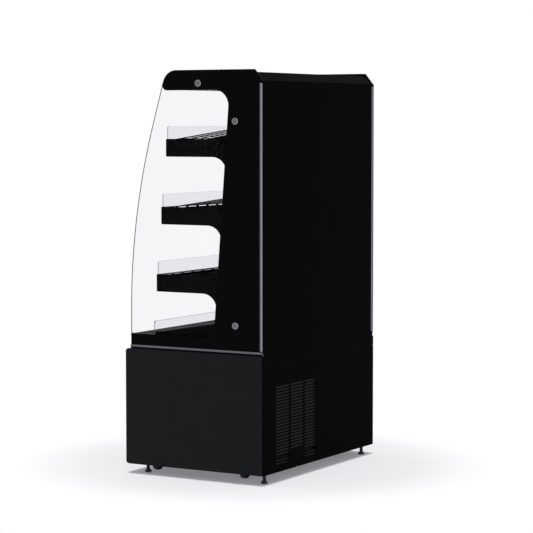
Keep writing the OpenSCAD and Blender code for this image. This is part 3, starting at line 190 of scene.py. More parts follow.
@dataclass(frozen=True)
class Clear:
    """A clear solid: glass or acrylic with polished edges.

    Attributes:
        name: The real material.
        colour: sRGB hex of what a pane lets through.
        ior: Index of refraction.
        roughness: Roughness of the polish.
        haze: sRGB hex of the faint smears that dull it.
        gleam: Share of the mirrored light that a thin pane keeps, so that it lets light straight
            through. None for an edge, which bends light like a thick body.
    """

    name: str
    colour: str
    ior: float
    roughness: float = 0.0
    haze: str = "FFFFFF"
    gleam: Optional[float] = None

    def build(self) -> bpy.types.Material:
        """Builds the material.

        Returns:
            A transmitting material whose colour varies faintly over the pane.
        """
        mat = new_material(self.name)
        place = add(mat, "ShaderNodeTexCoord").outputs["Object"]
        slow = add(mat, "ShaderNodeTexNoise", {"Vector": place, "Scale": 3.0, "Detail": 2.0}).outputs["Fac"]
        colour = add(mat, "ShaderNodeMix", {"Factor": slow, "A": linear(self.colour), "B": linear(self.haze)},
                     data_type="RGBA").outputs["Result"]
        if self.gleam is None:
            surface = add(mat, "ShaderNodeBsdfPrincipled", {
                "Base Color": colour, "Roughness": self.roughness, "IOR": self.ior,
                "Transmission Weight": 1.0})
        else:
            # How much a pane mirrors at a slant, which is the same from both sides of a face
            slant = add(mat, "ShaderNodeLayerWeight", {"Blend": 0.5}).outputs["Facing"]
            fifth = add(mat, "ShaderNodeMath", {0: slant, 1: 5.0}, operation="POWER").outputs[0]
            share = add(mat, "ShaderNodeMath", {0: fifth, 1: self.gleam}, operation="MULTIPLY").outputs[0]
            straight = add(mat, "ShaderNodeBsdfTransparent", {"Color": colour}).outputs[0]
            gloss = add(mat, "ShaderNodeBsdfPrincipled", {
                "Base Color": linear("FFFFFF"), "Metallic": 1.0, "Roughness": 0.02}).outputs[0]
            surface = add(mat, "ShaderNodeMixShader", {0: share, 1: straight, 2: gloss})
        add(mat, "ShaderNodeOutputMaterial", {"Surface": surface.outputs[0]})
        mat.diffuse_color = (*linear(self.colour)[:3], 0.3)
        return mat


# Powder coat: a dry, slightly grainy charcoal skin that catches soft light
CHARCOAL = Finish("charcoal_powder_coat", "1A1B1E", "1E1F22", roughness=(0.45, 0.55), specular=0.06,
                  pitch=0.9, bump=0.03)
# Satin lacquer on flat sheet: deep black with hardly any shine
SATIN_BLACK = Finish("satin_black_lacquer", "070708", "080809", roughness=(0.42, 0.52), specular=0.003,
                     pitch=1.4, bump=0.012)
# Fired ceramic print: even, glossy and the darkest surface
PRINT_BLACK = Finish("fired_black_print", "070708", "090909", roughness=(0.1, 0.16), specular=0.02,
                     pitch=2.5, bump=0.002)
# Powder coat on the shelf parts: black with a little more sheen on the bends
SHELF_BLACK = Finish("black_shelf_powder_coat", "151516", "19191B", roughness=(0.34, 0.46), specular=0.008,
                     pitch=0.8, bump=0.02)
# Anodised extrusion: grey-violet with faint drawing lines along its length
ANODISED_Z = Finish("anodised_aluminium_upright", "60606A", "6A6A74", metallic=1.0, roughness=(0.26, 0.36),
                    pitch=0.7, bump=0.006, grain=Grain.ALONG_Z)
ANODISED_Y = Finish("anodised_aluminium_sill", "5C5C66", "6A6A73", metallic=1.0, roughness=(0.26, 0.36),
                    pitch=0.7, bump=0.006, grain=Grain.ALONG_Y)
# Painted highlight on the posts of the same profiles: a lighter colour on their rounded rear corner that stands
# for the bright line of light there, with a little lower roughness
PAINTED_HIGHLIGHT_TRIM = Finish("painted_highlight_aluminium", "88888F", "94949B", metallic=1.0, roughness=(0.16, 0.24),
                     pitch=0.7, bump=0.003)
# Turned stainless steel: soft shine with fine tool marks
TURNED_STEEL = Finish("turned_stainless_steel", "5F606A", "6D6E78", metallic=1.0, roughness=(0.24, 0.34),
                      pitch=0.5, bump=0.004)
# The side of the same caps is a painted highlight: the same steel in a much lighter colour that shows as a bright
# rim against the white surround, with a little lower roughness
PAINTED_HIGHLIGHT_STEEL = Finish("painted_highlight_stainless_steel", "C4C5CA", "D0D1D5", metallic=1.0, roughness=(0.14, 0.2),
                        pitch=0.5, bump=0.002)
# Hot-dip zinc on sheet: pale crystals
GALVANISED = Spangle("galvanised_sheet", "7C8083", "999DA0", metallic=0.85, roughness=(0.34, 0.5),
                     pitch=7.0, bump=0.004)
# Lacquer on the screw heads: dull, a shade lighter than the sheet
BLACK_SCREW = Finish("black_lacquered_screw", "0A0A0B", "0E0E0F", roughness=(0.5, 0.6), specular=0.006,
                     pitch=0.6, bump=0.008)
# Levelling feet: blackened steel thread and a grey nylon pad with a soft shine
BLACKENED = Finish("blackened_steel_thread", "2A2A2F", "36363C", metallic=1.0, roughness=(0.22, 0.32),
                   pitch=0.6, bump=0.004)
PAD_NYLON = Finish("dark_grey_nylon_pad", "38383D", "404046", roughness=(0.35, 0.45), specular=0.35,
                   pitch=0.6, bump=0.008)
# Injection moulded plastic: fine spark texture
MOULDED_BLACK = Finish("moulded_black_nylon", "141517", "191A1C", roughness=(0.45, 0.58), specular=0.2,
                       pitch=0.5, bump=0.01)
MOULDED_WHITE = Finish("moulded_white_styrene", "C2C5C7", "CDD0D2", roughness=(0.4, 0.5), specular=0.4,
                       pitch=0.8, bump=0.006)
OPAL = Finish("opal_light_diffuser", "DADCDD", "E4E6E6", roughness=(0.3, 0.38), specular=0.4, pitch=3.0,
              bump=0.003)
# Grey castor tread and black glazing rubber
TREAD_GREY = Finish("grey_rubber_tread", "3C3D3F", "4A4B4D", roughness=(0.6, 0.75), specular=0.2, pitch=0.9,
                    bump=0.02)
# The glazing rubber also paints the shade on the lower faces of the sills
GASKET = Finish("black_glazing_rubber", "080809", "0C0C0D", roughness=(0.55, 0.68), specular=0.02, pitch=0.7,
                bump=0.01)
# Fin stock: bare in the tub, grey coated against corrosion in the machine space
FIN_STOCK = Finish("bare_aluminium_fins", "A0A3A6", "B4B7BA", metallic=1.0, roughness=(0.3, 0.42), pitch=2.0,
                   bump=0.006)
COATED_FINS = Finish("grey_coated_fins", "4E4F53", "58595D", roughness=(0.5, 0.62), specular=0.1, pitch=2.0,
                     bump=0.006)
# Washable filter mat behind the rear slots: dark grey open foam
FILTER_FOAM = Finish("grey_filter_foam", "3A3B3E", "424346", roughness=(0.8, 0.95), specular=0.02, pitch=2.2,
                     bump=0.15)
# Closed cell foam sleeve round the cold pipe: dull black with fine pores; the same black paints the shade band on
# the filter mat
PIPE_FOAM = Finish("black_foam_sleeve", "111112", "17171A", roughness=(0.7, 0.85), specular=0.05, pitch=0.8,
                   bump=0.05)
# Drawn copper and enamelled pump casing
COPPER = Finish("drawn_copper_tube", "A65F44", "844733", metallic=1.0, roughness=(0.22, 0.4), pitch=5.0,
                bump=0.006)
ENAMEL = Finish("black_pump_enamel", "0F1011", "151618", roughness=(0.2, 0.3), specular=0.3, pitch=2.0,
                bump=0.01, coat=0.2)
FRAME_COAT = Finish("dark_frame_powder_coat", "1A1B1D", "212225", roughness=(0.45, 0.58), specular=0.12,
                    pitch=1.0, bump=0.03)
DISPLAY = Finish("smoked_display_window", "08090A", "0E1012", roughness=(0.05, 0.1), specular=0.4, pitch=6.0,
                 bump=0.001)
# Ground edges scatter the light: darker and matt beside the clear faces
GROUND_EDGE = Clear("ground_glass_edge", "5E5E68", 1.5, roughness=0.5, haze="6A6A73")
ACRYLIC_EDGE = Clear("flamed_acrylic_edge", "8E8E98", 1.49, roughness=0.25, haze="9C9CA5")
# Toughened glass and cast acrylic: almost clear, a little cool, with a shine where seen at a slant
TOUGHENED = Clear("toughened_clear_glass", "F9F9FA", 1.5, haze="FBFBFC", gleam=0.2)
ACRYLIC = Clear("polished_cast_acrylic", "F6F6F8", 1.49, haze="F8F8FA", gleam=0.3)


class Palette:
    """Builds each finish once and hands it out."""

    def __init__(self) -> None:
        """Starts with nothing built."""
        self._made: dict = {}

    def get(self, finish: Union[Finish, Clear]) -> bpy.types.Material:
        """Returns the material of a finish, built on first use."""
        if finish.name not in self._made:
            self._made[finish.name] = finish.build()
        return self._made[finish.name]


PALETTE = Palette()


# Outlines and surfaces

def arc_corner(p: np.ndarray, q: np.ndarray, s: np.ndarray, r: float, steps: int) -> np.ndarray:
    """Rounds the corner q between p and s.

    The centre lies on the bisector at r / sin(half angle), and the arc runs between the two points where
    the circle touches the sides: c + r (cos a, sin a), with a spread evenly.

    Args:
        p: Point before the corner.
        q: The corner.
        s: Point after the corner.
        r: Radius; zero keeps the sharp corner.
        steps: Number of chords in the arc.

    Returns:
        The points of the arc.
    """
    if r <= 0:
        return q[None, :]
    u, w = (p - q) / np.linalg.norm(p - q), (s - q) / np.linalg.norm(s - q)
    half = math.acos(float(np.clip(u @ w, -1, 1))) / 2
    mid = (u + w) / np.linalg.norm(u + w)
    c = q + mid * r / math.sin(half)
    start, end = q + u * r / math.tan(half) - c, q + w * r / math.tan(half) - c
    a = math.atan2(start[1], start[0])
    sweep = (math.atan2(end[1], end[0]) - a + math.pi) % (2 * math.pi) - math.pi
    t = a + sweep * np.linspace(0, 1, steps + 1)
    return c + r * np.stack([np.cos(t), np.sin(t)], 1)


def rounded(corners: Sequence[tuple], steps: int = 10, fine: int = 40) -> np.ndarray:
    """Rounds a closed outline of (x, y, radius) corners; radii over a metre get the finer steps."""
    c = np.array(corners, float)
    n = len(c)
    return np.concatenate([arc_corner(c[i - 1, :2], c[i, :2], c[(i + 1) % n, :2], c[i, 2],
                                      fine if c[i, 2] > 1000 else steps) for i in range(n)])


def turns_left(line: np.ndarray) -> bool:
    """True if a closed outline runs anticlockwise, so that its signed area is positive."""
    x, y = line[:, 0], line[:, 1]
    return bool(np.sum(x * np.roll(y, -1) - y * np.roll(x, -1)) > 0)


def unit(rows: np.ndarray) -> np.ndarray:
    """Returns rows scaled to a length of one; a row of zeros stays as it is."""
    return rows / np.maximum(np.linalg.norm(rows, axis=1, keepdims=True), 1e-12)


def inwards(line: np.ndarray, distance: np.ndarray) -> np.ndarray:
    """Moves a closed outline inwards.

    Each point goes along the mitre of its two sides' normals: m = (n1 + n2) / (1 + n1 . n2).

    Args:
        line: Points of the outline, (n, 2), running anticlockwise or clockwise.
        distance: Distance for each point.

    Returns:
        The moved points.
    """
    before, after = line - np.roll(line, 1, 0), np.roll(line, -1, 0) - line
    turn = 1.0 if turns_left(line) else -1.0
    n1, n2 = unit(before)[:, ::-1] * [-turn, turn], unit(after)[:, ::-1] * [-turn, turn]
    mitre = (n1 + n2) / np.maximum(1 + np.sum(n1 * n2, 1, keepdims=True), 0.3)
    return line + mitre * np.asarray(distance, float).reshape(-1, 1)


def grid_faces(rows: int, cols: int, wrap: bool = True) -> np.ndarray:
    """Numbers the quads of a grid of points stored row by row.

    Args:
        rows: Number of rows.
        cols: Points in a row.
        wrap: Whether each row closes on itself.

    Returns:
        Quads, (m, 4).
    """
    r, c = np.meshgrid(np.arange(rows - 1), np.arange(cols if wrap else cols - 1), indexing="ij")
    a, b = r * cols + c, r * cols + (c + 1) % cols
    return np.stack([a, b, b + cols, a + cols], -1).reshape(-1, 4)


@dataclass
class Shape:
    """Points and faces that become one mesh.

    Attributes:
        points: Positions in metres, (n, 3).
        faces: Faces as lists of point numbers.
        slots: Material number of each face.
    """

    points: np.ndarray
    faces: list
    slots: list = field(default_factory=list)

    def __post_init__(self) -> None:
        """Gives faces without a material the first one."""
        if not self.slots:
            self.slots = [0] * len(self.faces)

    def moved(self, shift: Sequence[float]) -> "Shape":
        """Returns a copy moved by a distance."""
        return Shape(self.points + np.asarray(shift, float), self.faces, list(self.slots))

    def placed(self, rows: Sequence[Sequence[float]], shift: Sequence[float] = (0, 0, 0)) -> "Shape":
        """Returns a copy turned by a matrix, then moved; a mirroring matrix has its faces turned round."""
        m = np.array(rows, float)
        flip = np.linalg.det(m) < 0
        faces = [list(f)[::-1] for f in self.faces] if flip else self.faces
        return Shape(self.points @ m.T + np.asarray(shift, float), faces, list(self.slots))

    def mirrored(self) -> "Shape":
        """Returns the piece of the other side."""
        return self.placed(np.diag([-1.0, 1.0, 1.0]))


def capped(rings: int, count: int) -> list:
    """Numbers the faces of rings of points joined in a row, with a flat cap on the first and the last."""
    last = (rings - 1) * count
    return [list(range(count))[::-1], *grid_faces(rings, count).tolist(), list(range(last, last + count))]


def join(shapes: Sequence[Shape]) -> Shape:
    """Joins shapes into one, each with its own points."""
    faces, slots, points, base = [], [], [], 0
    for s in shapes:
        faces += (np.asarray(s.faces) + base).tolist() if len({len(f) for f in s.faces}) == 1 else [
            [i + base for i in f] for f in s.faces]
        slots += s.slots
        points.append(s.points)
        base += len(s.points)
    return Shape(np.concatenate(points), faces, slots)


def both_sides(shapes: Sequence[Shape]) -> Shape:
    """Joins the shapes of the right side and their mirror images."""
    return join([*shapes, *(s.mirrored() for s in shapes)])


def cushion(face: np.ndarray, back: np.ndarray) -> Shape:
    """Closes two grids of points, (rows, cols, 3), by a wall round their rims."""
    rows, cols = face.shape[:2]
    count = rows * cols
    quads = grid_faces(rows, cols, wrap=False)
    rim = np.concatenate([np.arange(cols), np.arange(2, rows + 1) * cols - 1,
                          count - 2 - np.arange(cols - 1), (rows - 2 - np.arange(rows - 2)) * cols])
    wall = np.stack([rim, np.roll(rim, -1), np.roll(rim, -1) + count, rim + count], -1)
    points = np.concatenate([face.reshape(-1, 3), back.reshape(-1, 3)])
    return Shape(points, np.concatenate([quads, quads[:, ::-1] + count, wall]).tolist())


def plate(line: np.ndarray, low: float, high: float, arris: float, edge: Optional[np.ndarray] = None,
          edge_slot: int = 0) -> Shape:
    """A flat plate between two heights with ground edges.

    Four rings carry the outline up: the first and last are moved inwards by the arris.

    Args:
        line: Outline points (n, 2).
        low: Lower face.
        high: Upper face.
        arris: Width of the ground edge.
        edge: Share of the arris at each outline point, or None for the whole.
        edge_slot: Material number of the ground edges.

    Returns:
        The plate with its outline in X and Y and its thickness along Z.
    """
    share = np.ones(len(line)) if edge is None else edge
    if not turns_left(line):
        line, share = line[::-1], share[::-1]
    small = inwards(line, arris * share)
    n = len(line)
    rings = [(small, np.full(n, low)), (line, low + arris * share), (line, high - arris * share),
             (small, np.full(n, high))]
    points = np.concatenate([np.column_stack([xy, z]) for xy, z in rings])
    ground = np.tile((share > 0) & (np.roll(share, -1) > 0), 3)
    return Shape(points, capped(4, n), [0, *np.where(ground, edge_slot, 0).tolist(), 0])


def revolve(profile: np.ndarray, steps: int = 48, slots: Optional[Sequence[int]] = None) -> Shape:
    """Turns a profile of (radius, height) about Z: (r cos t, r sin t, z), closed at both poles.

    Args:
        profile: Points of the profile from the lower pole or rim to the upper one.
        steps: Number of points round the axis.
        slots: Material number of each row of faces.

    Returns:
        The surface; a profile that starts and ends off the axis is closed into a ring.
    """
    t = np.linspace(0, 2 * math.pi, steps, endpoint=False)
    r, z = profile[:, 0], profile[:, 1]
    if r[0] > 1e-9 or r[-1] > 1e-9:
        r, z = np.append(r, r[0]), np.append(z, z[0])
    points = np.stack([np.outer(r, np.cos(t)), np.outer(r, np.sin(t)), np.outer(z, np.ones(steps))], -1)
    faces = grid_faces(len(r), steps)
    rows = np.repeat(np.arange(len(r) - 1), steps)
    number = np.zeros(len(rows), int) if slots is None else np.asarray(slots)[rows]
    return Shape(points.reshape(-1, 3), faces.tolist(), number.tolist())


def tube(path: np.ndarray, radius: float, steps: int = 14) -> Shape:
    """Carries a circle along a path.

    Each point's frame is the one before it turned by the least angle onto the new direction, so the
    circle doesn't twist: p + r (cos t u + sin t v).

    Args:
        path: Points of the middle line, (n, 3).
        radius: Radius of the tube.
        steps: Number of points round it.

    Returns:
        The tube with flat ends.
    """
    way = np.gradient(path, axis=0)
    way /= np.linalg.norm(way, axis=1, keepdims=True)
    u = np.cross(way[0], [0.31, 0.77, 0.55])
    sides = []
    for d in way:
        u = u - d * (u @ d)
        u = u / np.linalg.norm(u)
        sides.append(u)
    u = np.array(sides)
    v = np.cross(way, u)
    t = np.linspace(0, 2 * math.pi, steps, endpoint=False)
    points = path[:, None] + radius * (np.cos(t)[:, None] * u[:, None] + np.sin(t)[:, None] * v[:, None])
    return Shape(points.reshape(-1, 3), capped(len(path), steps))


def bent_path(points: Sequence[Sequence[float]], bend: float, steps: int = 8) -> np.ndarray:
    """A path of straight runs joined by bends: each corner is an arc that touches both runs."""
    p = np.array(points, float)
    out = [p[:1]]
    for a, b, c in zip(p[:-2], p[1:-1], p[2:]):
        u, w = (a - b) / np.linalg.norm(a - b), (c - b) / np.linalg.norm(c - b)
        half = math.acos(float(np.clip(u @ w, -1, 1))) / 2
        mid = (u + w) / np.linalg.norm(u + w)
        centre = b + mid * bend / math.sin(half)
        start, end = b + u * bend / math.tan(half) - centre, b + w * bend / math.tan(half) - centre
        t = np.linspace(0, 1, steps + 1)[:, None]
        full = math.pi - 2 * half
        out.append(centre + (np.sin((1 - t) * full) * start + np.sin(t * full) * end) / math.sin(full))
    return np.concatenate([*out, p[-1:]])


def build_mesh(name: str, shape: Shape, finishes: Sequence[Union[Finish, Clear]], smooth: float,
               weld: bool = True) -> bpy.types.Object:
    """Makes a mesh object from a shape.

    Args:
        name: Name of the piece.
        shape: Its points and faces, in metres.
        finishes: One finish for each material number.
        smooth: Largest angle, in degrees, that is shaded smooth.
        weld: Whether doubled points are merged and the faces turned outwards.

    Returns:
        The object, at the origin.
    """
    mesh = bpy.data.meshes.new(name)
    mesh.from_pydata(shape.points, [], shape.faces)
    mesh.polygons.foreach_set("material_index", np.asarray(shape.slots, np.int32))
    if weld:
        work = bmesh.new()
        work.from_mesh(mesh)
        bmesh.ops.remove_doubles(work, verts=work.verts, dist=1e-6)
        bmesh.ops.dissolve_degenerate(work, edges=work.edges, dist=1e-7)
        bmesh.ops.recalc_face_normals(work, faces=work.faces)
        work.to_mesh(mesh)
        work.free()
    mesh.polygons.foreach_set("use_smooth", np.ones(len(mesh.polygons), bool))
    mesh.set_sharp_from_angle(angle=math.radians(smooth))
    mesh.update()
    piece = new_object(name, mesh)
    for finish in finishes:
        mesh.materials.append(PALETTE.get(finish))
    return piece


def fit(piece: bpy.types.Object, body: str, nodes: Sequence[str] = ()) -> None:
    """Makes a piece ride on a body and stand for the solids it replaces.

    Args:
        piece: The piece, in place.
        body: The body that carries it.
        nodes: Solids that it replaces.
    """
    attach(piece, body)
    if nodes:
        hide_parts(*nodes)
    LOG.info("%s: %d faces on %s", piece.name, len(piece.data.polygons), body)


def loose_copy(node: str) -> Shape:
    """Copies a solid's triangles with equal points merged.

    Positions are rounded to a hundredth of a millimetre and compared as whole rows; triangles that
    lose a side are dropped.

    Args:
        node: Name of the solid.

    Returns:
        The merged shape.
    """
    mesh = frame["nodes"][node].data
    points = np.empty(len(mesh.vertices) * 3, np.float32)
    mesh.vertices.foreach_get("co", points)
    points = points.reshape(-1, 3)
    corners = np.empty(len(mesh.loops), np.int32)
    mesh.loops.foreach_get("vertex_index", corners)
    _, first, number = np.unique(np.round(points / 1e-5).astype(np.int64), axis=0, return_index=True,
                                 return_inverse=True)
    faces = number.reshape(-1)[corners].reshape(-1, 3)
    whole = (faces[:, 0] != faces[:, 1]) & (faces[:, 1] != faces[:, 2]) & (faces[:, 0] != faces[:, 2])
    return Shape(points[first].astype(float), faces[whole].tolist())


def body_of_node(node: str) -> str:
    """Returns the body that holds a solid."""
    return next(b for b, held in frame["record"]["behaviour"]["bodies"].items() if node in held)


def broken_edges(node: str, finish: Finish, width: float, smooth: float = 32.0) -> None:
    """Replaces a solid by a copy whose sharp edges are broken by a small bevel.

    Args:
        node: Name of the solid.
        finish: Its finish.
        width: Width of the bevel in millimetres.
        smooth: Largest angle that is shaded smooth.
    """
    piece = build_mesh(node + "_finished", loose_copy(node), [finish], smooth, weld=False)
    work = bmesh.new()
    work.from_mesh(piece.data)
    bmesh.ops.dissolve_limit(work, angle_limit=math.radians(0.4), verts=work.verts, edges=work.edges)
    work.to_mesh(piece.data)
    work.free()
    piece.data.set_sharp_from_angle(angle=math.radians(smooth))
    bevel = piece.modifiers.new("broken_edge", "BEVEL")
    bevel.width, bevel.segments, bevel.limit_method = width * MM, 2, "ANGLE"
    bevel.angle_limit = math.radians(smooth)
    bevel.use_clamp_overlap, bevel.harden_normals = True, True
    fit(piece, body_of_node(node), [node])


# Sub-assemblies

@dataclass(frozen=True)
class Casing:
    """Planes of the cabinet that the sub-assemblies share, in millimetres."""

    rear: float = 298.0
    sill_top: float = 489.3
    glass_out: float = 435.8
    glass_in: float = 429.8
    print_in: float = 429.2
    tub_top: float = 528.3
    lean: float = 4.9
    duct_foot: float = 199.5

    def duct_depth(self, z: float) -> float:
        """Depth of the duct panel's face at a height."""
        return self.duct_foot - (z - self.tub_top) * math.tan(math.radians(self.lean))

    def at(self, depth: float) -> float:
        """Y of a depth forward of the rear panels, in millimetres."""
        return self.rear - depth


CASING = Casing()


@dataclass
class SideGlass:
    """One side glass: a clear window inside a fired black border, with ground edges."""

    knee: tuple = (573.0, 973.316, 2500.0)
    nose: tuple = (415.045, 1510.0, 57.0)
    bottom: float = 479.5
    back: float = 1.5
    chamfer: tuple = (36.0, 1468.0)
    edge_radius: float = 5.0
    window_low: float = 531.3
    window_top: float = 1436.0
    window_rear: tuple = (142.0, 210.0)
    window_radii: tuple = (57.0, 35.0)
    nose_low: tuple = (436.825, 19.5)
    arris: float = 0.9

    def window_line(self) -> tuple:
        """Outline of the clear window.

        Returns:
            Points and, for each, the share of the ground edge: one on the free front edge.
        """
        low, high = self.window_low, self.window_top
        c = np.array([(self.knee[0], low), self.knee[:2], self.nose[:2], (self.nose_low[0], high),
                      (self.window_rear[0], high), (self.window_rear[1], low)])
        rounds = ((1, self.knee[2], 60), (3, self.nose_low[1], 12), (4, self.window_radii[0], 20),
                  (5, self.window_radii[1], 16))
        knee, *others = [arc_corner(c[i - 1], c[i], c[(i + 1) % 6], r, steps) for i, r, steps in rounds]
        line = np.concatenate([c[:1], knee, *others])
        # The foot, the knee and the first point of the nose are on the free edge
        return line, (np.arange(len(line)) < len(knee) + 2).astype(float)

    def border_line(self) -> tuple:
        """Outline of the printed area.

        Returns:
            Points and, for each, the share of the ground edge: none along the window.
        """
        corners = [(self.back, self.bottom, 0), (self.knee[0], self.bottom, 0),
                   (self.knee[0], self.window_low, 0),
                   (self.window_rear[1], self.window_low, self.window_radii[1]),
                   (self.window_rear[0], self.window_top, self.window_radii[0]),
                   (self.nose_low[0], self.window_top, self.nose_low[1]), self.nose,
                   (self.chamfer[0], self.nose[1], self.edge_radius),
                   (self.back, self.chamfer[1], self.edge_radius)]
        c = np.array(corners, float)
        parts, share = [], []
        for i, steps in enumerate((1, 1, 1, 16, 20, 12, 20, 8, 8)):
            parts.append(arc_corner(c[i - 1, :2], c[i, :2], c[(i + 1) % len(c), :2], c[i, 2], steps))
            share.append(np.full(len(parts[-1]), 0.0 if i in (2, 3, 4, 5) else 1.0))
        return np.concatenate(parts), np.concatenate(share)

    def build(self, side: str) -> None:
        """Builds the window and the printed area of one side."""
        window, window_share = self.window_line()
        border, border_share = self.border_line()
        out, arris = CASING.glass_out * MM, self.arris * MM
        clear = plate(window * MM, CASING.glass_in * MM, out, arris, window_share, 1)
        black = plate(border * MM, CASING.print_in * MM, out, arris, border_share)
        for name, shape, finish, nodes, slot in (
                ("window", clear, (TOUGHENED, GROUND_EDGE), ["side_glass_" + side], "clear_glass"),
                ("print", black, (PRINT_BLACK,), ["glass_border_" + side], "black_print")):
            shape = shape.placed(SIDE_ROWS, (0, CASING.rear * MM, 0))
            shape = shape if side == "right" else shape.mirrored()
            piece = build_mesh("side_glass_%s_%s" % (name, side), shape, finish, 25)
            fit(piece, CABINET, nodes)


@dataclass
class Standoffs:
    """Turned caps that clamp each side glass, with a sleeve behind it and a stud into the cheek."""

    places: tuple = ((271.745, 1461.0), (114.0, 1322.5), (114.0, 579.8))
    radius: float = 12.0
    height: float = 9.0
    rim: float = 1.0
    groove: float = 0.35
    dish: float = 0.18
    stud: float = 4.0
    sleeve: float = 9.0
    inner: float = 426.9

    def profile(self) -> np.ndarray:
        """Profile along the stud: stud, sleeve, cap with a groove under its rim and a dished face.

        The face is z = h - d (1 - (r / R)^2), a shallow dish turned to a sixth of a millimetre.
        """
        g, r, stud, inner = CASING.glass_out + 0.05, self.radius, self.stud, self.inner
        top, neck = g + self.height, r - self.groove
        face = np.linspace(r - self.rim - 0.3, 0, 8)
        dish = top - self.dish * (1 - (face / r) ** 2)
        body = [(0, inner - 15), (stud - 0.6, inner - 15), (stud, inner - 14.4), (stud, inner + 0.1),
                (self.sleeve, inner + 0.1), (self.sleeve, inner + 2.2), (stud, inner + 2.2), (stud, g),
                (r - 0.4, g), (r, g + 0.4), (r, top - 2.6), (neck, top - 2.3), (neck, top - 1.9),
                (r, top - 1.6), (r, top - self.rim), (r - 0.3, top - 0.3), (r - self.rim, top)]
        return np.concatenate([np.array(body), np.column_stack([face, dish])]) * MM

    def build(self) -> None:
        """Builds all the standoffs as one group."""
        # The stud and sleeve, then the side of the cap with its painted highlight, then its turned face
        one = revolve(self.profile(), 56, [0] * 8 + [1] * 8 + [0] * 8).placed(AXIS_TO_X)
        group = both_sides([one.moved((0, CASING.at(d) * MM, z * MM)) for d, z in self.places])
        fit(build_mesh("glass_standoffs_turned", group, [TURNED_STEEL, PAINTED_HIGHLIGHT_STEEL], 28), CABINET,
            ["glass_standoffs"])


@dataclass
class Trims:
    """Drawn edge profiles that hold each side glass: a sill whose lower, undercut faces are painted black as
    shade, and a post up the back whose rounded rear corner carries a painted highlight.

    Attributes:
        rear: Y where both profiles end behind.
        sill: Section of the sill, as (X, Z, radius) corners from its inner foot outwards.
        post: Section of the post, as (X, Y, radius) corners from the glass outwards.
        leg: Rear leg that laps over the edge of the rear panel: lowest and highest X, width of its arris.
        lap: How far the leg's two faces stand off the rear panel.
        web: X of the side that stays straight where the ends are rounded.
        end: Length of the rounded ends.
    """

    rear: float = 295.4
    sill: tuple = ((427.2, 473.3, 0.0), (435.6, 473.3, 0.5), (436.4, 478.2, 0.3), (438.2, 479.4, 1.0),
                   (439.4, 480.6, 0.0), (439.9, 483.2, 1.6), (439.9, 488.0, 1.4), (435.9, 488.2, 0.3),
                   (435.9, 479.4, 0.0), (429.5, 479.4, 0.0), (429.5, 488.2, 0.3), (427.2, 488.2, 0.0))
    post: tuple = ((435.9, 283.4, 0.0), (437.6, 283.4, 0.8), (439.9, 285.8, 1.5), (439.9, 290.6, 0.0),
                   (439.9, 295.4, 2.2), (435.9, 295.4, 0.5))
    leg: tuple = (-434.5, -416.5, 0.2)
    lap: tuple = (0.03, 0.55)
    web: float = 435.9
    end: float = 2.0

    def swept(self, corners: tuple, low: float, high: float, painted_band: tuple) -> Shape:
        """Carries a section along the third axis between two planes, with rounded ends.

        The section shrinks towards its own inner side over the last millimetres of each end: its outer
        part, u above u0, is drawn in to u0 + (u - u0) sqrt(1 - s^2) with s from zero to one.

        Args:
            corners: Corners of the section, (u, v, radius).
            low: Start of the run.
            high: End of the run.
            painted_band: Lowest and highest v of the faces that take the second material, which is painted shade
                on the sill and a painted highlight on the post.

        Returns:
            The profile with u, v and the run along X, Y and Z, in metres.
        """
        line = rounded(corners, steps=5)
        s = np.array([0.96, 0.85, 0.65, 0.4, 0.2, 0.0])
        run = np.concatenate([low + self.end * (1 - s), high - self.end * (1 - s[::-1])])
        draw = np.sqrt(1 - np.concatenate([s, s[::-1]]) ** 2)
        u = np.where(line[:, 0] > self.web, self.web + (line[:, 0] - self.web) * draw[:, None], line[:, 0])
        v = np.broadcast_to(line[:, 1], u.shape)
        points = np.stack([u, v, np.broadcast_to(run[:, None], u.shape)], -1).reshape(-1, 3) * MM
        mid = (line + np.roll(line, -1, 0)) / 2
        # Faces in the band take the second material: painted shade on the sill, a painted highlight on the post
        painted_faces = (mid[:, 1] > painted_band[0]) & (mid[:, 1] < painted_band[1])
        slots = np.tile(painted_faces.astype(int), len(run) - 1).tolist()
        return Shape(points, capped(len(run), len(line)), [0, *slots, 0])

    def build(self) -> None:
        """Builds the sill and the post of both sides."""
        low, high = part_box("sill_trim_right")
        _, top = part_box("post_trim_right")
        sill = self.swept(self.sill, -self.rear, -low.y / MM, (470.0, 480.6)).placed(UPRIGHT)
        post = self.swept(self.post, high.z / MM + 1.2, top.z / MM, (290.6, 300.0))
        x0, x1, arris = self.leg
        z0, z1 = high.z + 0.002, top.z - 0.001
        line = np.array([(x0 * MM, z0), (x1 * MM, z0), (x1 * MM, z1), (x0 * MM, z1)])
        leg = plate(line, -(CASING.rear + self.lap[1]) * MM, -(CASING.rear + self.lap[0]) * MM, arris * MM)
        leg = leg.placed(UPRIGHT)
        # The sill's second material is black glazing rubber as painted shade on its lower faces; the post's is the
        # painted highlight on its rear corner
        for name, shape, finishes in (("sill_trim", sill, (ANODISED_Y, GASKET)),
                                      ("post_trim", post, (ANODISED_Z, PAINTED_HIGHLIGHT_TRIM))):
            far = join([shape.mirrored(), leg]) if name == "post_trim" else shape.mirrored()
            for side, half in (("right", shape), ("left", far)):
                piece = build_mesh("%s_%s_drawn" % (name, side), half, finishes, 30)
                fit(piece, CABINET, ["%s_%s" % (name, side)])


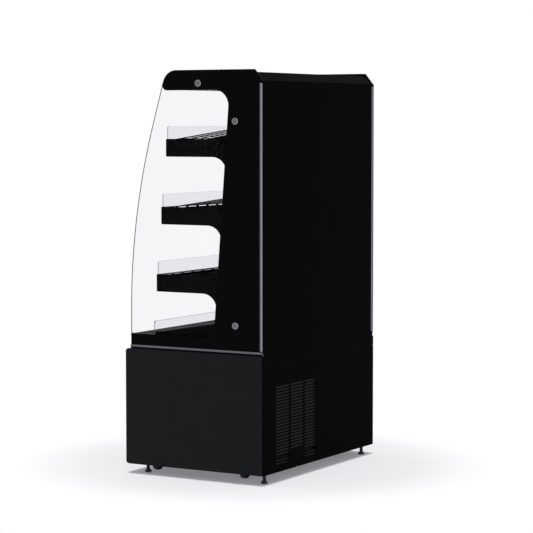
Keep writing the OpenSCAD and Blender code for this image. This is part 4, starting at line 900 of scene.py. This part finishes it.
@dataclass
class Gaskets:
    """Rubber strips that seat each side glass in its trims."""

    width: float = 0.495
    stand: float = 0.96

    def build(self) -> None:
        """Builds the strips along the sill and the rear post of both sides.

        The section is a half-round lip, x = g + w sin t, z = s cos t, carried along the edge.
        """
        low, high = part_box("sill_trim_right")
        _, post_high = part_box("post_trim_right")
        t = np.linspace(0, math.pi, 9)
        x = CASING.glass_out * MM + self.width * MM * np.sin(t)
        lip = self.stand * MM * np.cos(t)
        strips = []
        for start, end in (((low.y + 0.002, high.z + 0.0003), (high.y - 0.02, high.z + 0.0003)),
                           ((high.y - 0.0192, high.z + 0.001), (high.y - 0.0192, post_high.z - 0.004))):
            run = np.array([end[0] - start[0], end[1] - start[1]])
            run /= np.linalg.norm(run)
            across = np.array([-run[1], run[0]])
            rings = [np.column_stack([x, y + across[0] * lip, z + across[1] * lip]) for y, z in (start, end)]
            strips.append(Shape(np.concatenate(rings), capped(2, len(t))))
        fit(build_mesh("glazing_gaskets", both_sides(strips), [GASKET], 40), CABINET)


@dataclass
class Screws:
    """Low domed screws with a cross recess.

    Attributes:
        columns: X of the panel screws.
        rows: Heights of the panel screws.
        reaches: Depths of the shelf screws, forward of the duct panel.
        drop: How far the shelf screws lie below the bracket tops.
        bracket_face: X of the bracket's outer face.
    """

    columns: tuple = (384.0, 12.0, -359.0)
    rows: tuple = (1394.0, 900.0, 506.3, 407.0, 109.0)
    reaches: tuple = (224.0, 43.0)
    drop: float = 13.6
    bracket_face: float = 422.0

    def head(self, radius: float, height: float, shank: float, length: float) -> Shape:
        """One screw along +Z with its seat at zero.

        The head is z = h (1 - (r / R)^4), lowered by a cross recess of depth d that fades with the
        distance from the nearer arm: d exp(-(min(|x|, |y|) / w)^4) (1 - (r / (0.6 R))^4).

        Args:
            radius: Head radius.
            height: Head height.
            shank: Shank radius.
            length: Shank length.

        Returns:
            The screw, in metres.
        """
        steps = 24
        t = np.linspace(0, 2 * math.pi, steps, endpoint=False)
        r = radius * np.array([0.0, 0.12, 0.24, 0.36, 0.48, 0.6, 0.78, 0.93, 1.0])[::-1]
        dome = height * (1 - (r / radius) ** 4)
        x, y = np.outer(r, np.cos(t)), np.outer(r, np.sin(t))
        arm = np.exp(-(np.minimum(abs(x), abs(y)) / (0.11 * radius)) ** 4)
        fade = np.clip(1 - (r / (0.62 * radius)) ** 4, 0, 1)[:, None]
        top = np.stack([x, y, np.maximum(dome[:, None] - 0.75 * height * arm * fade, 0.02)], -1)
        low_r = np.array([0, shank * 0.7, shank, shank, radius])
        low_z = np.array([-length, -length, -length + 0.5, 0, 0])
        low = np.stack([np.outer(low_r, np.cos(t)), np.outer(low_r, np.sin(t)),
                        np.outer(low_z, np.ones(steps))], -1)
        points = np.concatenate([low, top]).reshape(-1, 3) * MM
        return Shape(points, grid_faces(14, steps).tolist())

    def build(self) -> None:
        """Builds the panel screws and the shelf screws as two groups."""
        rear = self.head(4.5, 1.5, 1.9, 6.5).placed(AXIS_TO_Y)
        group = join([rear.moved((x * MM, CASING.rear * MM, z * MM)) for x in self.columns
                      for z in self.rows])
        fit(build_mesh("panel_screws_driven", group, [BLACK_SCREW], 30), CABINET,
            ["panel_screws"])
        side = self.head(4.0, 1.4, 1.9, 9.5).placed(AXIS_TO_X)
        right = [side.moved((self.bracket_face * MM, CASING.at(d + CASING.duct_depth(z)) * MM,
                             (z - self.drop) * MM)) for z in Shelves.heights() for d in self.reaches]
        fit(build_mesh("shelf_screws_driven", both_sides(right), [BLACK_SCREW], 30), CABINET,
            ["shelf_screws"])


@dataclass
class Shelves:
    """Three leaning shelves and the bottom deck, with their clear risers."""

    names: tuple = ("lower", "middle", "top")
    first: ClassVar[float] = 227.425
    pitch: ClassVar[float] = 250.986
    corner: float = 9.0
    arris: float = 0.6

    @classmethod
    def heights(cls) -> tuple:
        """Heights of the three bracket tops, in millimetres."""
        return tuple(CASING.tub_top + cls.first + k * cls.pitch for k in range(3))

    def riser(self, node: str) -> None:
        """Builds a clear riser: a plate with rounded top corners and polished edges."""
        low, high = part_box(node)
        r = self.corner * MM
        line = rounded([(low.x, low.z, 0), (high.x, low.z, 0), (high.x, high.z, r), (low.x, high.z, r)])
        shape = plate(line, -high.y, -low.y, self.arris * MM, edge_slot=1).placed(UPRIGHT)
        fit(build_mesh(node + "_polished", shape, [ACRYLIC, ACRYLIC_EDGE], 25), CABINET, [node])

    def build(self) -> None:
        """Builds the risers and breaks the edges of the brackets and decks."""
        for name in self.names:
            self.riser("shelf_%s_riser" % name)
            broken_edges("shelf_%s_brackets" % name, SHELF_BLACK, 0.35)
            broken_edges("shelf_%s_deck" % name, SHELF_BLACK, 0.25)
        self.riser("bottom_riser")
        for node in ("bottom_deck", "return_grille"):
            broken_edges(node, SHELF_BLACK, 0.25)
        broken_edges("shelf_uprights", SATIN_BLACK, 0.3)


@dataclass
class Panels:
    """Sheet metal of the casing, canopy and inner walls."""

    plan: tuple = (
        ("base_side_panel_right", CHARCOAL, 0.4), ("base_side_panel_left", CHARCOAL, 0.4),
        ("base_front_panel", CHARCOAL, 0.3), ("rear_lower_panel", SATIN_BLACK, 0.25),
        ("rear_upper_panel", SATIN_BLACK, 0.25), ("canopy", SATIN_BLACK, 0.5), ("tub", CHARCOAL, 1.0),
        ("back_wall", CHARCOAL, 0.8), ("duct_panel", CHARCOAL, 0.25),
        ("base_frame", FRAME_COAT, 0.5), ("castor_plates", GALVANISED, 0.3),
        ("condenser_shroud", GALVANISED, 0.3), ("evaporator_fan_plate", GALVANISED, 0.3),
        ("condensate_pan", GALVANISED, 0.4), ("compressor", ENAMEL, 0.6))
    plain: tuple = (("air_honeycomb", MOULDED_WHITE), ("canopy_light", OPAL))

    def build(self) -> None:
        """Breaks the edges of each sheet and gives the two trim pieces in the canopy their finish."""
        for node, finish, width in self.plan:
            broken_edges(node, finish, width)
        for node, finish in self.plain:
            dress(node, finish)


def dress(node: str, finish: Finish) -> None:
    """Gives a solid that keeps its own mesh a finish."""
    slots = frame["nodes"][node].data.materials
    slots.clear()
    slots.append(PALETTE.get(finish))
    LOG.info("%s: finished as it is", node)


@dataclass
class Foot:
    """A levelling foot: rounded pad, hexagon and threaded stem."""

    pad: float = 12.5
    dome: float = 4.0
    stem: float = 6.6
    hexagon: float = 8.0
    pitch: float = 1.5
    depth: float = 0.3

    def build(self, corner: str, steps: int = 48) -> None:
        """Builds one foot as a polar surface.

        The radius is a function of height and angle: on the hexagon it is a / cos(t - nearest flat)
        limited by a chamfer cone, and on the stem R - d |2 frac(z / p - t / 2 pi) - 1|, a helical ridge.

        Args:
            corner: Which foot, such as "front_right".
            steps: Points round the axis.
        """
        node = "foot_" + corner
        low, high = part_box(node)
        t = np.linspace(0, 2 * math.pi, steps, endpoint=False)
        pad, stem, dome = self.pad, self.stem, self.dome
        flat = self.hexagon * math.cos(math.pi / 6)
        full = flat / np.cos((t + math.pi / 6) % (math.pi / 3) - math.pi / 6)
        face, bevel = np.minimum(full, flat + 0.1), np.minimum(full, flat + 0.9)
        rows = [(0.0, 0), (0.0, pad - 1.2), (0.35, pad - 0.35), (1.2, pad)]
        rows += [(6.0 + dome * math.sin(a), pad - dome + dome * math.cos(a))
                 for a in np.linspace(0, math.pi / 2, 8)]
        split = len(rows) * steps
        rows += [(10.0, stem - 0.5), (10.5, stem - 0.5), (10.5, face), (11.0, bevel), (11.3, full),
                 (13.7, full), (14.0, bevel), (14.5, face), (14.5, stem - 0.6), (15.2, stem - 0.6)]
        z_thread = np.arange(15.5, 60.5, self.pitch / 4)
        wave = np.abs(2 * ((z_thread[:, None] / self.pitch - t / (2 * math.pi)) % 1) - 1)
        rows += list(zip(z_thread, stem - self.depth * wave))
        rows += [(61.2, stem - 0.5), (62.0, stem - 1.2), (62.0, 0)]
        z = np.array([height for height, _ in rows])[:, None] * np.ones(steps)
        r = np.array([np.broadcast_to(radius, steps) for _, radius in rows])
        points = np.stack([r * np.cos(t), r * np.sin(t), z], -1).reshape(-1, 3) * MM
        faces = grid_faces(len(rows), steps)
        slots = (np.arange(len(faces)) >= split).astype(int).tolist()
        place = ((low.x + high.x) / 2, (low.y + high.y) / 2, 0)
        shape = Shape(points, faces.tolist(), slots).moved(place)
        fit(build_mesh(node + "_threaded", shape, [PAD_NYLON, BLACKENED], 35), node, [node])


@dataclass
class Castor:
    """A swivel castor: pressed fork and a wheel with a crowned tread."""

    radius: float = 25.0
    width: float = 20.0
    bore: float = 3.05
    hub: float = 8.0
    crown: float = 1.4

    def wheel(self, corner: str) -> None:
        """Builds the wheel.

        The tread is r = R - c (2 z / w)^4, a flat crown that rolls off at both sides, and the web
        between the hub and the tread is sunk on each side.

        Args:
            corner: Which castor, such as "rear_left".
        """
        node = "castor_wheel_" + corner
        low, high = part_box(node)
        w, tyre = self.width / 2, self.radius - 6
        z = np.linspace(-w, w, 15)
        tread = self.radius - self.crown * (z / w) ** 4
        near = np.array([(self.hub - 0.6, -w), (self.hub, -w + 0.6), (self.hub + 0.8, -w / 2),
                         (tyre - 1.2, -w / 2), (tyre - 0.4, -w + 1.2), (tyre, -w + 0.4)])
        bore = np.array([(self.bore, w), (self.bore, -w)])
        profile = np.concatenate([bore, near, np.column_stack([tread, z]), near[::-1] * (1, -1)]) * MM
        # The hub, the tread, then the hub's other side
        shape = revolve(profile, 64, [0] * 7 + [1] * 16 + [0] * 7).placed(AXIS_TO_Y).moved((low + high) / 2)
        fit(build_mesh(node + "_crowned", shape, [MOULDED_BLACK, TREAD_GREY], 35), "wheel_" + corner, [node])

    def build(self, corner: str) -> None:
        """Builds the fork and the wheel of one castor."""
        broken_edges("castor_fork_" + corner, GALVANISED, 0.4)
        self.wheel(corner)


@dataclass
class Fan:
    """An axial fan: hub with a domed nose and twisted, cambered blades."""

    node: str
    tip: float
    hub: float
    length: float
    shaft: float
    blades: int = 5

    def blade(self, nu: int = 12, nv: int = 14) -> Shape:
        """One blade along +X from the hub to the tip.

        Along the span u the setting angle falls from 38 to 24 degrees and the chord grows; across the
        chord v the camber is 0.06 c (1 - v^2) and the half thickness 0.7 (1 - v^4) + 0.25 mm.

        Args:
            nu: Points along the span.
            nv: Points across the chord.

        Returns:
            The closed blade about the Y axis, in millimetres.
        """
        u, v = np.linspace(0, 1, nu)[:, None], np.linspace(-1, 1, nv)[None, :]
        r = self.hub * 0.9 + (self.tip - 0.8 - self.hub * 0.9) * u
        setting = np.radians(38 - 14 * u)
        chord = np.minimum(self.tip * (0.48 + 0.2 * u), 0.92 * self.length / np.sin(setting))
        camber = 0.06 * chord * (1 - v ** 2)
        half = 0.7 * (1 - v ** 4) + 0.25
        sweep = 0.25 * u * u
        sides = []
        for s in (1, -1):
            along, off = 0.5 * chord * v, camber + s * half
            around = along * np.cos(setting) - off * np.sin(setting)
            axial = along * np.sin(setting) + off * np.cos(setting)
            axial = np.clip(axial, -0.49 * self.length, 0.49 * self.length)
            angle = around / r + sweep
            sides.append(np.stack([r * np.cos(angle), axial, r * np.sin(angle)], -1))
        points = np.concatenate([sides[0], sides[1][:, ::-1]], 1)
        return Shape(points.reshape(-1, 3), capped(nu, 2 * nv))

    def build(self, facing: float) -> None:
        """Builds the fan about its shaft.

        Args:
            facing: 1 if the domed nose points to +Y, -1 if it points to -Y.
        """
        low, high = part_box(self.node)
        x, _, z = next(j for j in frame["joints"] if j["child"] == self.node)["pos_m"]
        a = np.linspace(0, math.pi / 2, 8)
        h, hub, bore = self.length / 2, self.hub, self.shaft / 2 + 0.05
        dome = np.column_stack([hub - 3 + 3 * np.cos(a), h - 3 + 3 * np.sin(a)])
        profile = np.concatenate([[(0, h - 1), (bore, h - 1), (bore, -h), (hub - 3, -h), (hub - 2.4, -h + 2),
                                   (hub - 1, -h), (hub, -h + 0.8)], dome, [(0, h)]])
        one = self.blade()
        turns = [(math.cos(k), math.sin(k)) for k in 2 * math.pi * np.arange(self.blades) / self.blades]
        group = join([revolve(profile, 48).placed(AXIS_TO_Y),
                      *(one.placed(((c, 0, s), (0, 1, 0), (-s, 0, c))) for c, s in turns)])
        group = group.placed(np.diag([1.0, facing, 1.0]))
        shape = Shape(group.points * MM, group.faces).moved((x, (low.y + high.y) / 2, z))
        fit(build_mesh(self.node + "_moulded", shape, [MOULDED_BLACK], 35), self.node, [self.node])


@dataclass
class FinCoil:
    """A finned coil: thin plates on copper tubes with return bends and end plates."""

    node: str
    pitch: float
    rows: int
    columns: int
    ends: tuple
    fins: Finish = FIN_STOCK
    tube_radius: float = 4.5

    @staticmethod
    def slabs(starts: Sequence[float], low: Sequence[float], high: Sequence[float], slot: int) -> Shape:
        """Repeats one box along X.

        Args:
            starts: X of each copy.
            low: Lowest corner of the box that starts at zero.
            high: Highest corner of that box.
            slot: Material number.

        Returns:
            All the copies, worked out in one step.
        """
        sign = np.array([[x, y, z] for z in (0, 1) for y in (0, 1) for x in (0, 1)])
        quads = np.array([[0, 2, 3, 1], [4, 5, 7, 6], [0, 1, 5, 4], [2, 6, 7, 3], [0, 4, 6, 2], [1, 3, 7, 5]])
        base = np.asarray(low, float) + sign * np.subtract(high, low)
        points = base[None] + np.outer(starts, [1, 0, 0])[:, None]
        faces = (quads[None] + 8 * np.arange(len(starts))[:, None, None]).reshape(-1, 4)
        return Shape(points.reshape(-1, 3), faces.tolist(), [slot] * len(faces))

    def build(self) -> None:
        """Builds the coil inside the box of its solid.

        Each return bend follows half an ellipse about the middle of its row of tubes: d sin b outwards
        and R cos b across.
        """
        low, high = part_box(self.node)
        x0, x1 = self.ends[0] * MM, self.ends[1] * MM
        y0, y1, z0, z1 = low.y, high.y, low.z, high.z
        thick, r = 0.002, self.tube_radius * MM
        starts = np.arange(x0 + thick + 0.001, x1 - thick - 0.001, self.pitch * MM)
        fins = self.slabs(starts, (0, y0 + 0.001, z0 + 0.002), (0.0004, y1 - 0.001, z1 - 0.002), 0)
        plates = self.slabs((x0, x1 - thick), (0, y0, z0), (thick, y1, z1), 1)
        ys = y0 + (y1 - y0) * (np.arange(self.columns) + 0.5) / self.columns
        zs = z0 + (z1 - z0) * (np.arange(self.rows) + 0.5) / self.rows
        reach = (ys[1] - ys[0]) / 2
        depth = min(reach, max(x0 - low.x - r, 0.004))
        b = np.linspace(0, math.pi, 9)
        copper = []
        for z in zs:
            copper += [tube(np.array([(x0 - 0.0004, y, z), (x1 + 0.0004, y, z)]), r, 12) for y in ys]
            for sign, x, room in ((-1, x0, x0 - low.x), (1, x1, high.x - x1)):
                if room > r:
                    bend = [x + sign * min(depth, room - r) * np.sin(b), ys.mean() - reach * np.cos(b)]
                    copper.append(tube(np.column_stack([*bend, np.full(9, z)]), r, 12))
        pipes = join(copper)
        pipes.slots = [2] * len(pipes.faces)
        shape = join([fins, plates, pipes])
        finishes = [self.fins, GALVANISED, COPPER]
        fit(build_mesh(self.node + "_finned", shape, finishes, 40, weld=False), CABINET, [self.node])


@dataclass
class Pipes:
    """Copper pipes with drawn bends between the pump, the condenser and the evaporator."""

    bend: float = 16.0
    radius: float = 5.0
    runs: tuple = (
        ((-185.2, -32.0, 196.0), (-358.0, -32.0, 196.0), (-358.0, -32.0, 354.3), (-358.0, 164.0, 354.3),
         (-358.0, 164.0, 492.3), (-332.2, 164.0, 492.3)),
        ((332.2, 164.0, 492.3), (358.0, 164.0, 492.3), (358.0, 164.0, 354.3), (28.5, 164.0, 354.3),
         (28.5, 261.0, 354.3), (28.5, 261.0, 331.8), (48.3, 261.0, 331.8)))

    def build(self) -> None:
        """Builds both pipes as tubes along paths with rounded corners; the cold one has a foam sleeve."""
        tubes = []
        for number, run in enumerate(self.runs):
            p = np.array(run)
            step = np.linalg.norm(np.diff(p, axis=0), axis=1).min()
            one = tube(bent_path(p * MM, min(self.bend, step * 0.48) * MM), self.radius * MM, 16)
            tubes.append(Shape(one.points, one.faces, [number] * len(one.faces)))
        fit(build_mesh("refrigerant_pipes_bent", join(tubes), [COPPER, PIPE_FOAM], 40), CABINET,
            ["refrigerant_pipes"])


@dataclass
class Fittings:
    """Small pieces: the foam mat behind the rear slots, the cable grommet and the controller's face.

    Attributes:
        mat: X, Y and Z ranges of the foam mat, in millimetres.
        painted_shade_hem: Below this X and above this Z the mat is black, painted shade over the top row of slots
            and the low-X end of the slots.
        swell: Height of the mat's cells.
        cell: Their pitch divided by two pi.
        bore: Radius of the cable's way through the grommet.
        neck: Radius of the grommet inside the sheet.
        key: Half width, half height and rise of a key, in metres.
        first_key: Place of the first key from the controller's lowest corner.
        key_pitch: Steps between the keys.
        window: First and last X of the smoked window from the same corner.
    """

    mat: tuple = ((20.0, 353.0), (292.2, 294.6), (93.0, 393.0))
    painted_shade_hem: tuple = (51.0, 376.0)
    swell: float = 0.12
    cell: float = 2.6
    bore: float = 10.5
    neck: float = 12.4
    key: tuple = (0.0055, 0.004, 0.0012)
    first_key: tuple = (0.0475, 0.011)
    key_pitch: tuple = (0.015, 0.012)
    window: tuple = (0.0085, 0.0405)

    def grommet(self) -> None:
        """Builds the grommet: a ring whose section is a rounded lip on both faces of the sheet."""
        low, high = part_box("cable_grommet")
        bore, neck, lip, half = self.bore, self.neck, (high.x - low.x) / 2 / MM, (high.y - low.y) / 2 / MM
        rear = [(bore, half, 0.6), (lip, half, 0.8), (lip, half - 1.0, 0.15), (neck, half - 1.0, 0.15)]
        line = rounded([(r, -y, corner) for r, y, corner in rear] + rear[::-1], steps=4)
        ring = revolve(line * MM, 56).placed(AXIS_TO_Y).moved((low + high) / 2)
        fit(build_mesh("cable_grommet_moulded", ring, [GASKET], 35), CABINET, ["cable_grommet"])

    def controller(self) -> None:
        """Builds the thermostat's smoked window and four soft keys on its face.

        Each key is a superellipse cushion: height h (1 - |x / a|^4) (1 - |y / b|^4).
        """
        low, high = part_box("controller")
        u, v = np.meshgrid(np.linspace(-1, 1, 9), np.linspace(-1, 1, 9))
        wide, tall, height = self.key
        rise = height * (1 - u ** 4) * (1 - v ** 4)
        keys = []
        for i in range(4):
            x = low.x + self.first_key[0] + (i % 2) * self.key_pitch[0] + wide * u
            z = low.z + self.first_key[1] + (i // 2) * self.key_pitch[1] + tall * v
            keys.append(cushion(np.stack([x, low.y - rise, z], -1),
                                np.stack([x, np.full_like(x, low.y + 0.0006), z], -1)))
        fit(build_mesh("controller_keys", join(keys), [MOULDED_BLACK], 50), CABINET)
        x0, x1 = (low.x + x for x in self.window)
        z0, z1 = low.z + self.window[0], high.z - self.window[0]
        line = rounded([(x0, z0, 0.001), (x1, z0, 0.001), (x1, z1, 0.001), (x0, z1, 0.001)], 4)
        pane = plate(line, -(low.y + 0.0006), -(low.y - 0.0001), 0.0001).placed(UPRIGHT)
        fit(build_mesh("controller_window", pane, [DISPLAY], 30), CABINET)
        dress("controller", MOULDED_BLACK)

    def filter_mat(self) -> None:
        """Builds the foam mat that is clipped behind the rear slots, with a black band along its top and its low-X
        edge that is painted shade.

        The face that shows through the slots is a height field of rounded cells,
        y = f + a sin(x / p) sin(z / p).
        """
        across, (back, front), up = self.mat
        x, z = np.meshgrid(np.linspace(*across, 132), np.linspace(*up, 119))
        face = front + self.swell * np.sin(x / self.cell) * np.sin(z / self.cell)
        mat = cushion(np.stack([x, face, z], -1), np.stack([x, np.full_like(x, back), z], -1))
        middle = mat.points[np.asarray(mat.faces)].mean(1)
        # Painted shade: the band beyond these limits takes the black foam, which darkens the slots in front of it
        painted_shade_hem = (middle[:, 0] < self.painted_shade_hem[0]) | (middle[:, 2] > self.painted_shade_hem[1])
        shape = Shape(mat.points * MM, mat.faces, painted_shade_hem.astype(int).tolist())
        fit(build_mesh("grille_filter_mat", shape, [FILTER_FOAM, PIPE_FOAM], 50), CABINET)

    def build(self) -> None:
        """Builds all the small pieces."""
        self.filter_mat()
        self.grommet()
        self.controller()


@dataclass
class Studio:
    """Pale floor, soft lights and the camera at the photograph's viewing angle.

    Attributes:
        eye: Place of the camera.
        azimuth: Its direction round the cabinet in degrees, from the front towards the right.
        elevation: Its angle above the horizon in degrees.
        lens: Focal length on a sensor 36 mm wide.
        floor_half: Half the floor's side.
        fade: Distances between which the floor turns from lit to pure white.
        shadow_fill: Least share of pure white, also in the shadow.
        lit: The floor's colour where it takes the light.
        cool: Tint of its white near the cabinet.
        surround: Strength of the surround as a light.
        sunlight: Irradiance of the overhead light in watts per square metre.
        sun_size: Its angular size in radians, which softens the shadow's edge.
    """

    eye: tuple = (6.802, 3.987, 1.3203)
    azimuth: float = 120.0
    elevation: float = 4.04
    lens: float = 138.26
    floor_half: float = 60.0
    fade: tuple = (0.5, 0.95)
    shadow_fill: float = 0.22
    lit: tuple = (0.92, 0.92, 0.93, 1)
    cool: tuple = (0.93, 0.91, 1.0, 1)
    surround: float = 0.4
    sunlight: float = 1.9
    sun_size: float = 0.02

    def camera(self) -> None:
        """Places the camera, looking along its fitted direction."""
        data = bpy.data.cameras.new("camera")
        data.lens, data.sensor_width = self.lens, 36.0
        data.clip_start, data.clip_end = 0.05, 500.0
        camera = new_object("camera", data)
        a, e = math.radians(self.azimuth), math.radians(self.elevation)
        back = Vector((math.sin(a) * math.cos(e), -math.cos(a) * math.cos(e), math.sin(e)))
        camera.location = self.eye
        camera.rotation_mode = "QUATERNION"
        camera.rotation_quaternion = (-back).to_track_quat("-Z", "Y")
        bpy.context.scene.camera = camera

    def floor(self) -> None:
        """Builds the floor: a white sweep that keeps the shadow near the cabinet and turns pure white."""
        s = self.floor_half
        mesh = bpy.data.meshes.new("floor")
        mesh.from_pydata(np.array([(-s, -s, 0), (s, -s, 0), (s, s, 0), (-s, s, 0)]), [], [[0, 1, 2, 3]])
        floor = new_object("floor", mesh)
        mat = new_material("white_studio_floor")
        place = add(mat, "ShaderNodeTexCoord").outputs["Object"]
        far = add(mat, "ShaderNodeVectorMath", {0: place}, operation="LENGTH").outputs["Value"]
        near, end = self.fade
        away = add(mat, "ShaderNodeMapRange", {"Value": far, "From Min": near, "From Max": end},
                   interpolation_type="SMOOTHSTEP").outputs[0]
        seen = seen_directly(mat)
        # A little of the white shows in the shadow too, which keeps it an even grey
        least = add(mat, "ShaderNodeMath", {0: away, 1: self.shadow_fill}, operation="MAXIMUM").outputs[0]
        share = add(mat, "ShaderNodeMath", {0: least, 1: seen}, operation="MULTIPLY").outputs[0]
        lit = add(mat, "ShaderNodeBsdfDiffuse", {"Color": self.lit}).outputs[0]
        # Near the cabinet the white leans to a cool violet, as it does in a studio's shadow
        tint = add(mat, "ShaderNodeMix", {"Factor": away, "A": self.cool, "B": (1, 1, 1, 1)},
                   data_type="RGBA").outputs["Result"]
        white = add(mat, "ShaderNodeEmission", {"Color": tint, "Strength": 1.0}).outputs[0]
        mixed = add(mat, "ShaderNodeMixShader", {0: share, 1: lit, 2: white}).outputs[0]
        add(mat, "ShaderNodeOutputMaterial", {"Surface": mixed})
        mesh.materials.append(mat)

    def world(self) -> None:
        """Sets an even white surround: full white where it is seen, softer where it lights."""
        world = bpy.data.worlds.new("studio")
        bpy.context.scene.world = world
        world.use_nodes = True
        world.node_tree.nodes.clear()
        seen = seen_directly(world)
        lit, white = (add(world, "ShaderNodeBackground", {"Color": (1, 1, 1, 1), "Strength": s}).outputs[0]
                      for s in (self.surround, 1.0))
        mixed = add(world, "ShaderNodeMixShader", {0: seen, 1: lit, 2: white}).outputs[0]
        add(world, "ShaderNodeOutputWorld", {"Surface": mixed})

    def sun(self) -> None:
        """Adds a far light straight overhead, whose shadow lies right under the cabinet."""
        data = bpy.data.lights.new("overhead_sun", "SUN")
        data.energy, data.angle = self.sunlight, self.sun_size
        new_object("overhead_sun", data).location = (0.0, 0.0, 6.0)

    def build(self) -> None:
        """Sets the scene up."""
        self.camera()
        self.floor()
        self.world()
        self.sun()
        bpy.context.scene.view_settings.view_transform = "Standard"


def seen_directly(tree: Union[bpy.types.Material, bpy.types.World]) -> bpy.types.NodeSocket:
    """Adds the test for camera, glossy and transmitted rays and returns its socket."""
    path = add(tree, "ShaderNodeLightPath")
    shine = add(tree, "ShaderNodeMath", {0: path.outputs["Is Camera Ray"], 1: path.outputs["Is Glossy Ray"]},
                operation="MAXIMUM").outputs[0]
    return add(tree, "ShaderNodeMath", {0: shine, 1: path.outputs["Is Transmission Ray"]},
               operation="MAXIMUM").outputs[0]


def main() -> None:
    """Builds the studio and every sub-assembly in order."""
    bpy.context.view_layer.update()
    Studio().build()
    for side in ("right", "left"):
        SideGlass().build(side)
    Standoffs().build()
    Trims().build()
    Gaskets().build()
    Panels().build()
    Shelves().build()
    Screws().build()
    for corner in ("front_right", "front_left", "rear_right", "rear_left"):
        Foot().build(corner)
        Castor().build(corner)
    Fan("condenser_fan", 108.0, 27.0, 30.0, 8.0).build(1.0)
    Fan("evaporator_fan", 43.0, 17.0, 18.0, 5.0).build(-1.0)
    FinCoil("condenser_coil", 3.0, 5, 2, (48.5, 354.0), COATED_FINS).build()
    FinCoil("evaporator_coil", 6.0, 2, 3, (-332.0, 332.0)).build()
    Pipes().build()
    Fittings().build()


with open("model.json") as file:
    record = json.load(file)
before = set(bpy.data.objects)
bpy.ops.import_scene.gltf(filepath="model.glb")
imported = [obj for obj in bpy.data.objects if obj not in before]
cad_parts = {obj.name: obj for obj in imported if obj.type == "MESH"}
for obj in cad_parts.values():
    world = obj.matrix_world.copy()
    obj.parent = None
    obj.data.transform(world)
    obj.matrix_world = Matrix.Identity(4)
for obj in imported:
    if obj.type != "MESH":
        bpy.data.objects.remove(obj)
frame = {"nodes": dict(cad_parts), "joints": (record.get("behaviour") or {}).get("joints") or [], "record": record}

if __name__ == "__main__":
    logging.basicConfig(level=logging.INFO, format="%(message)s")
    main()
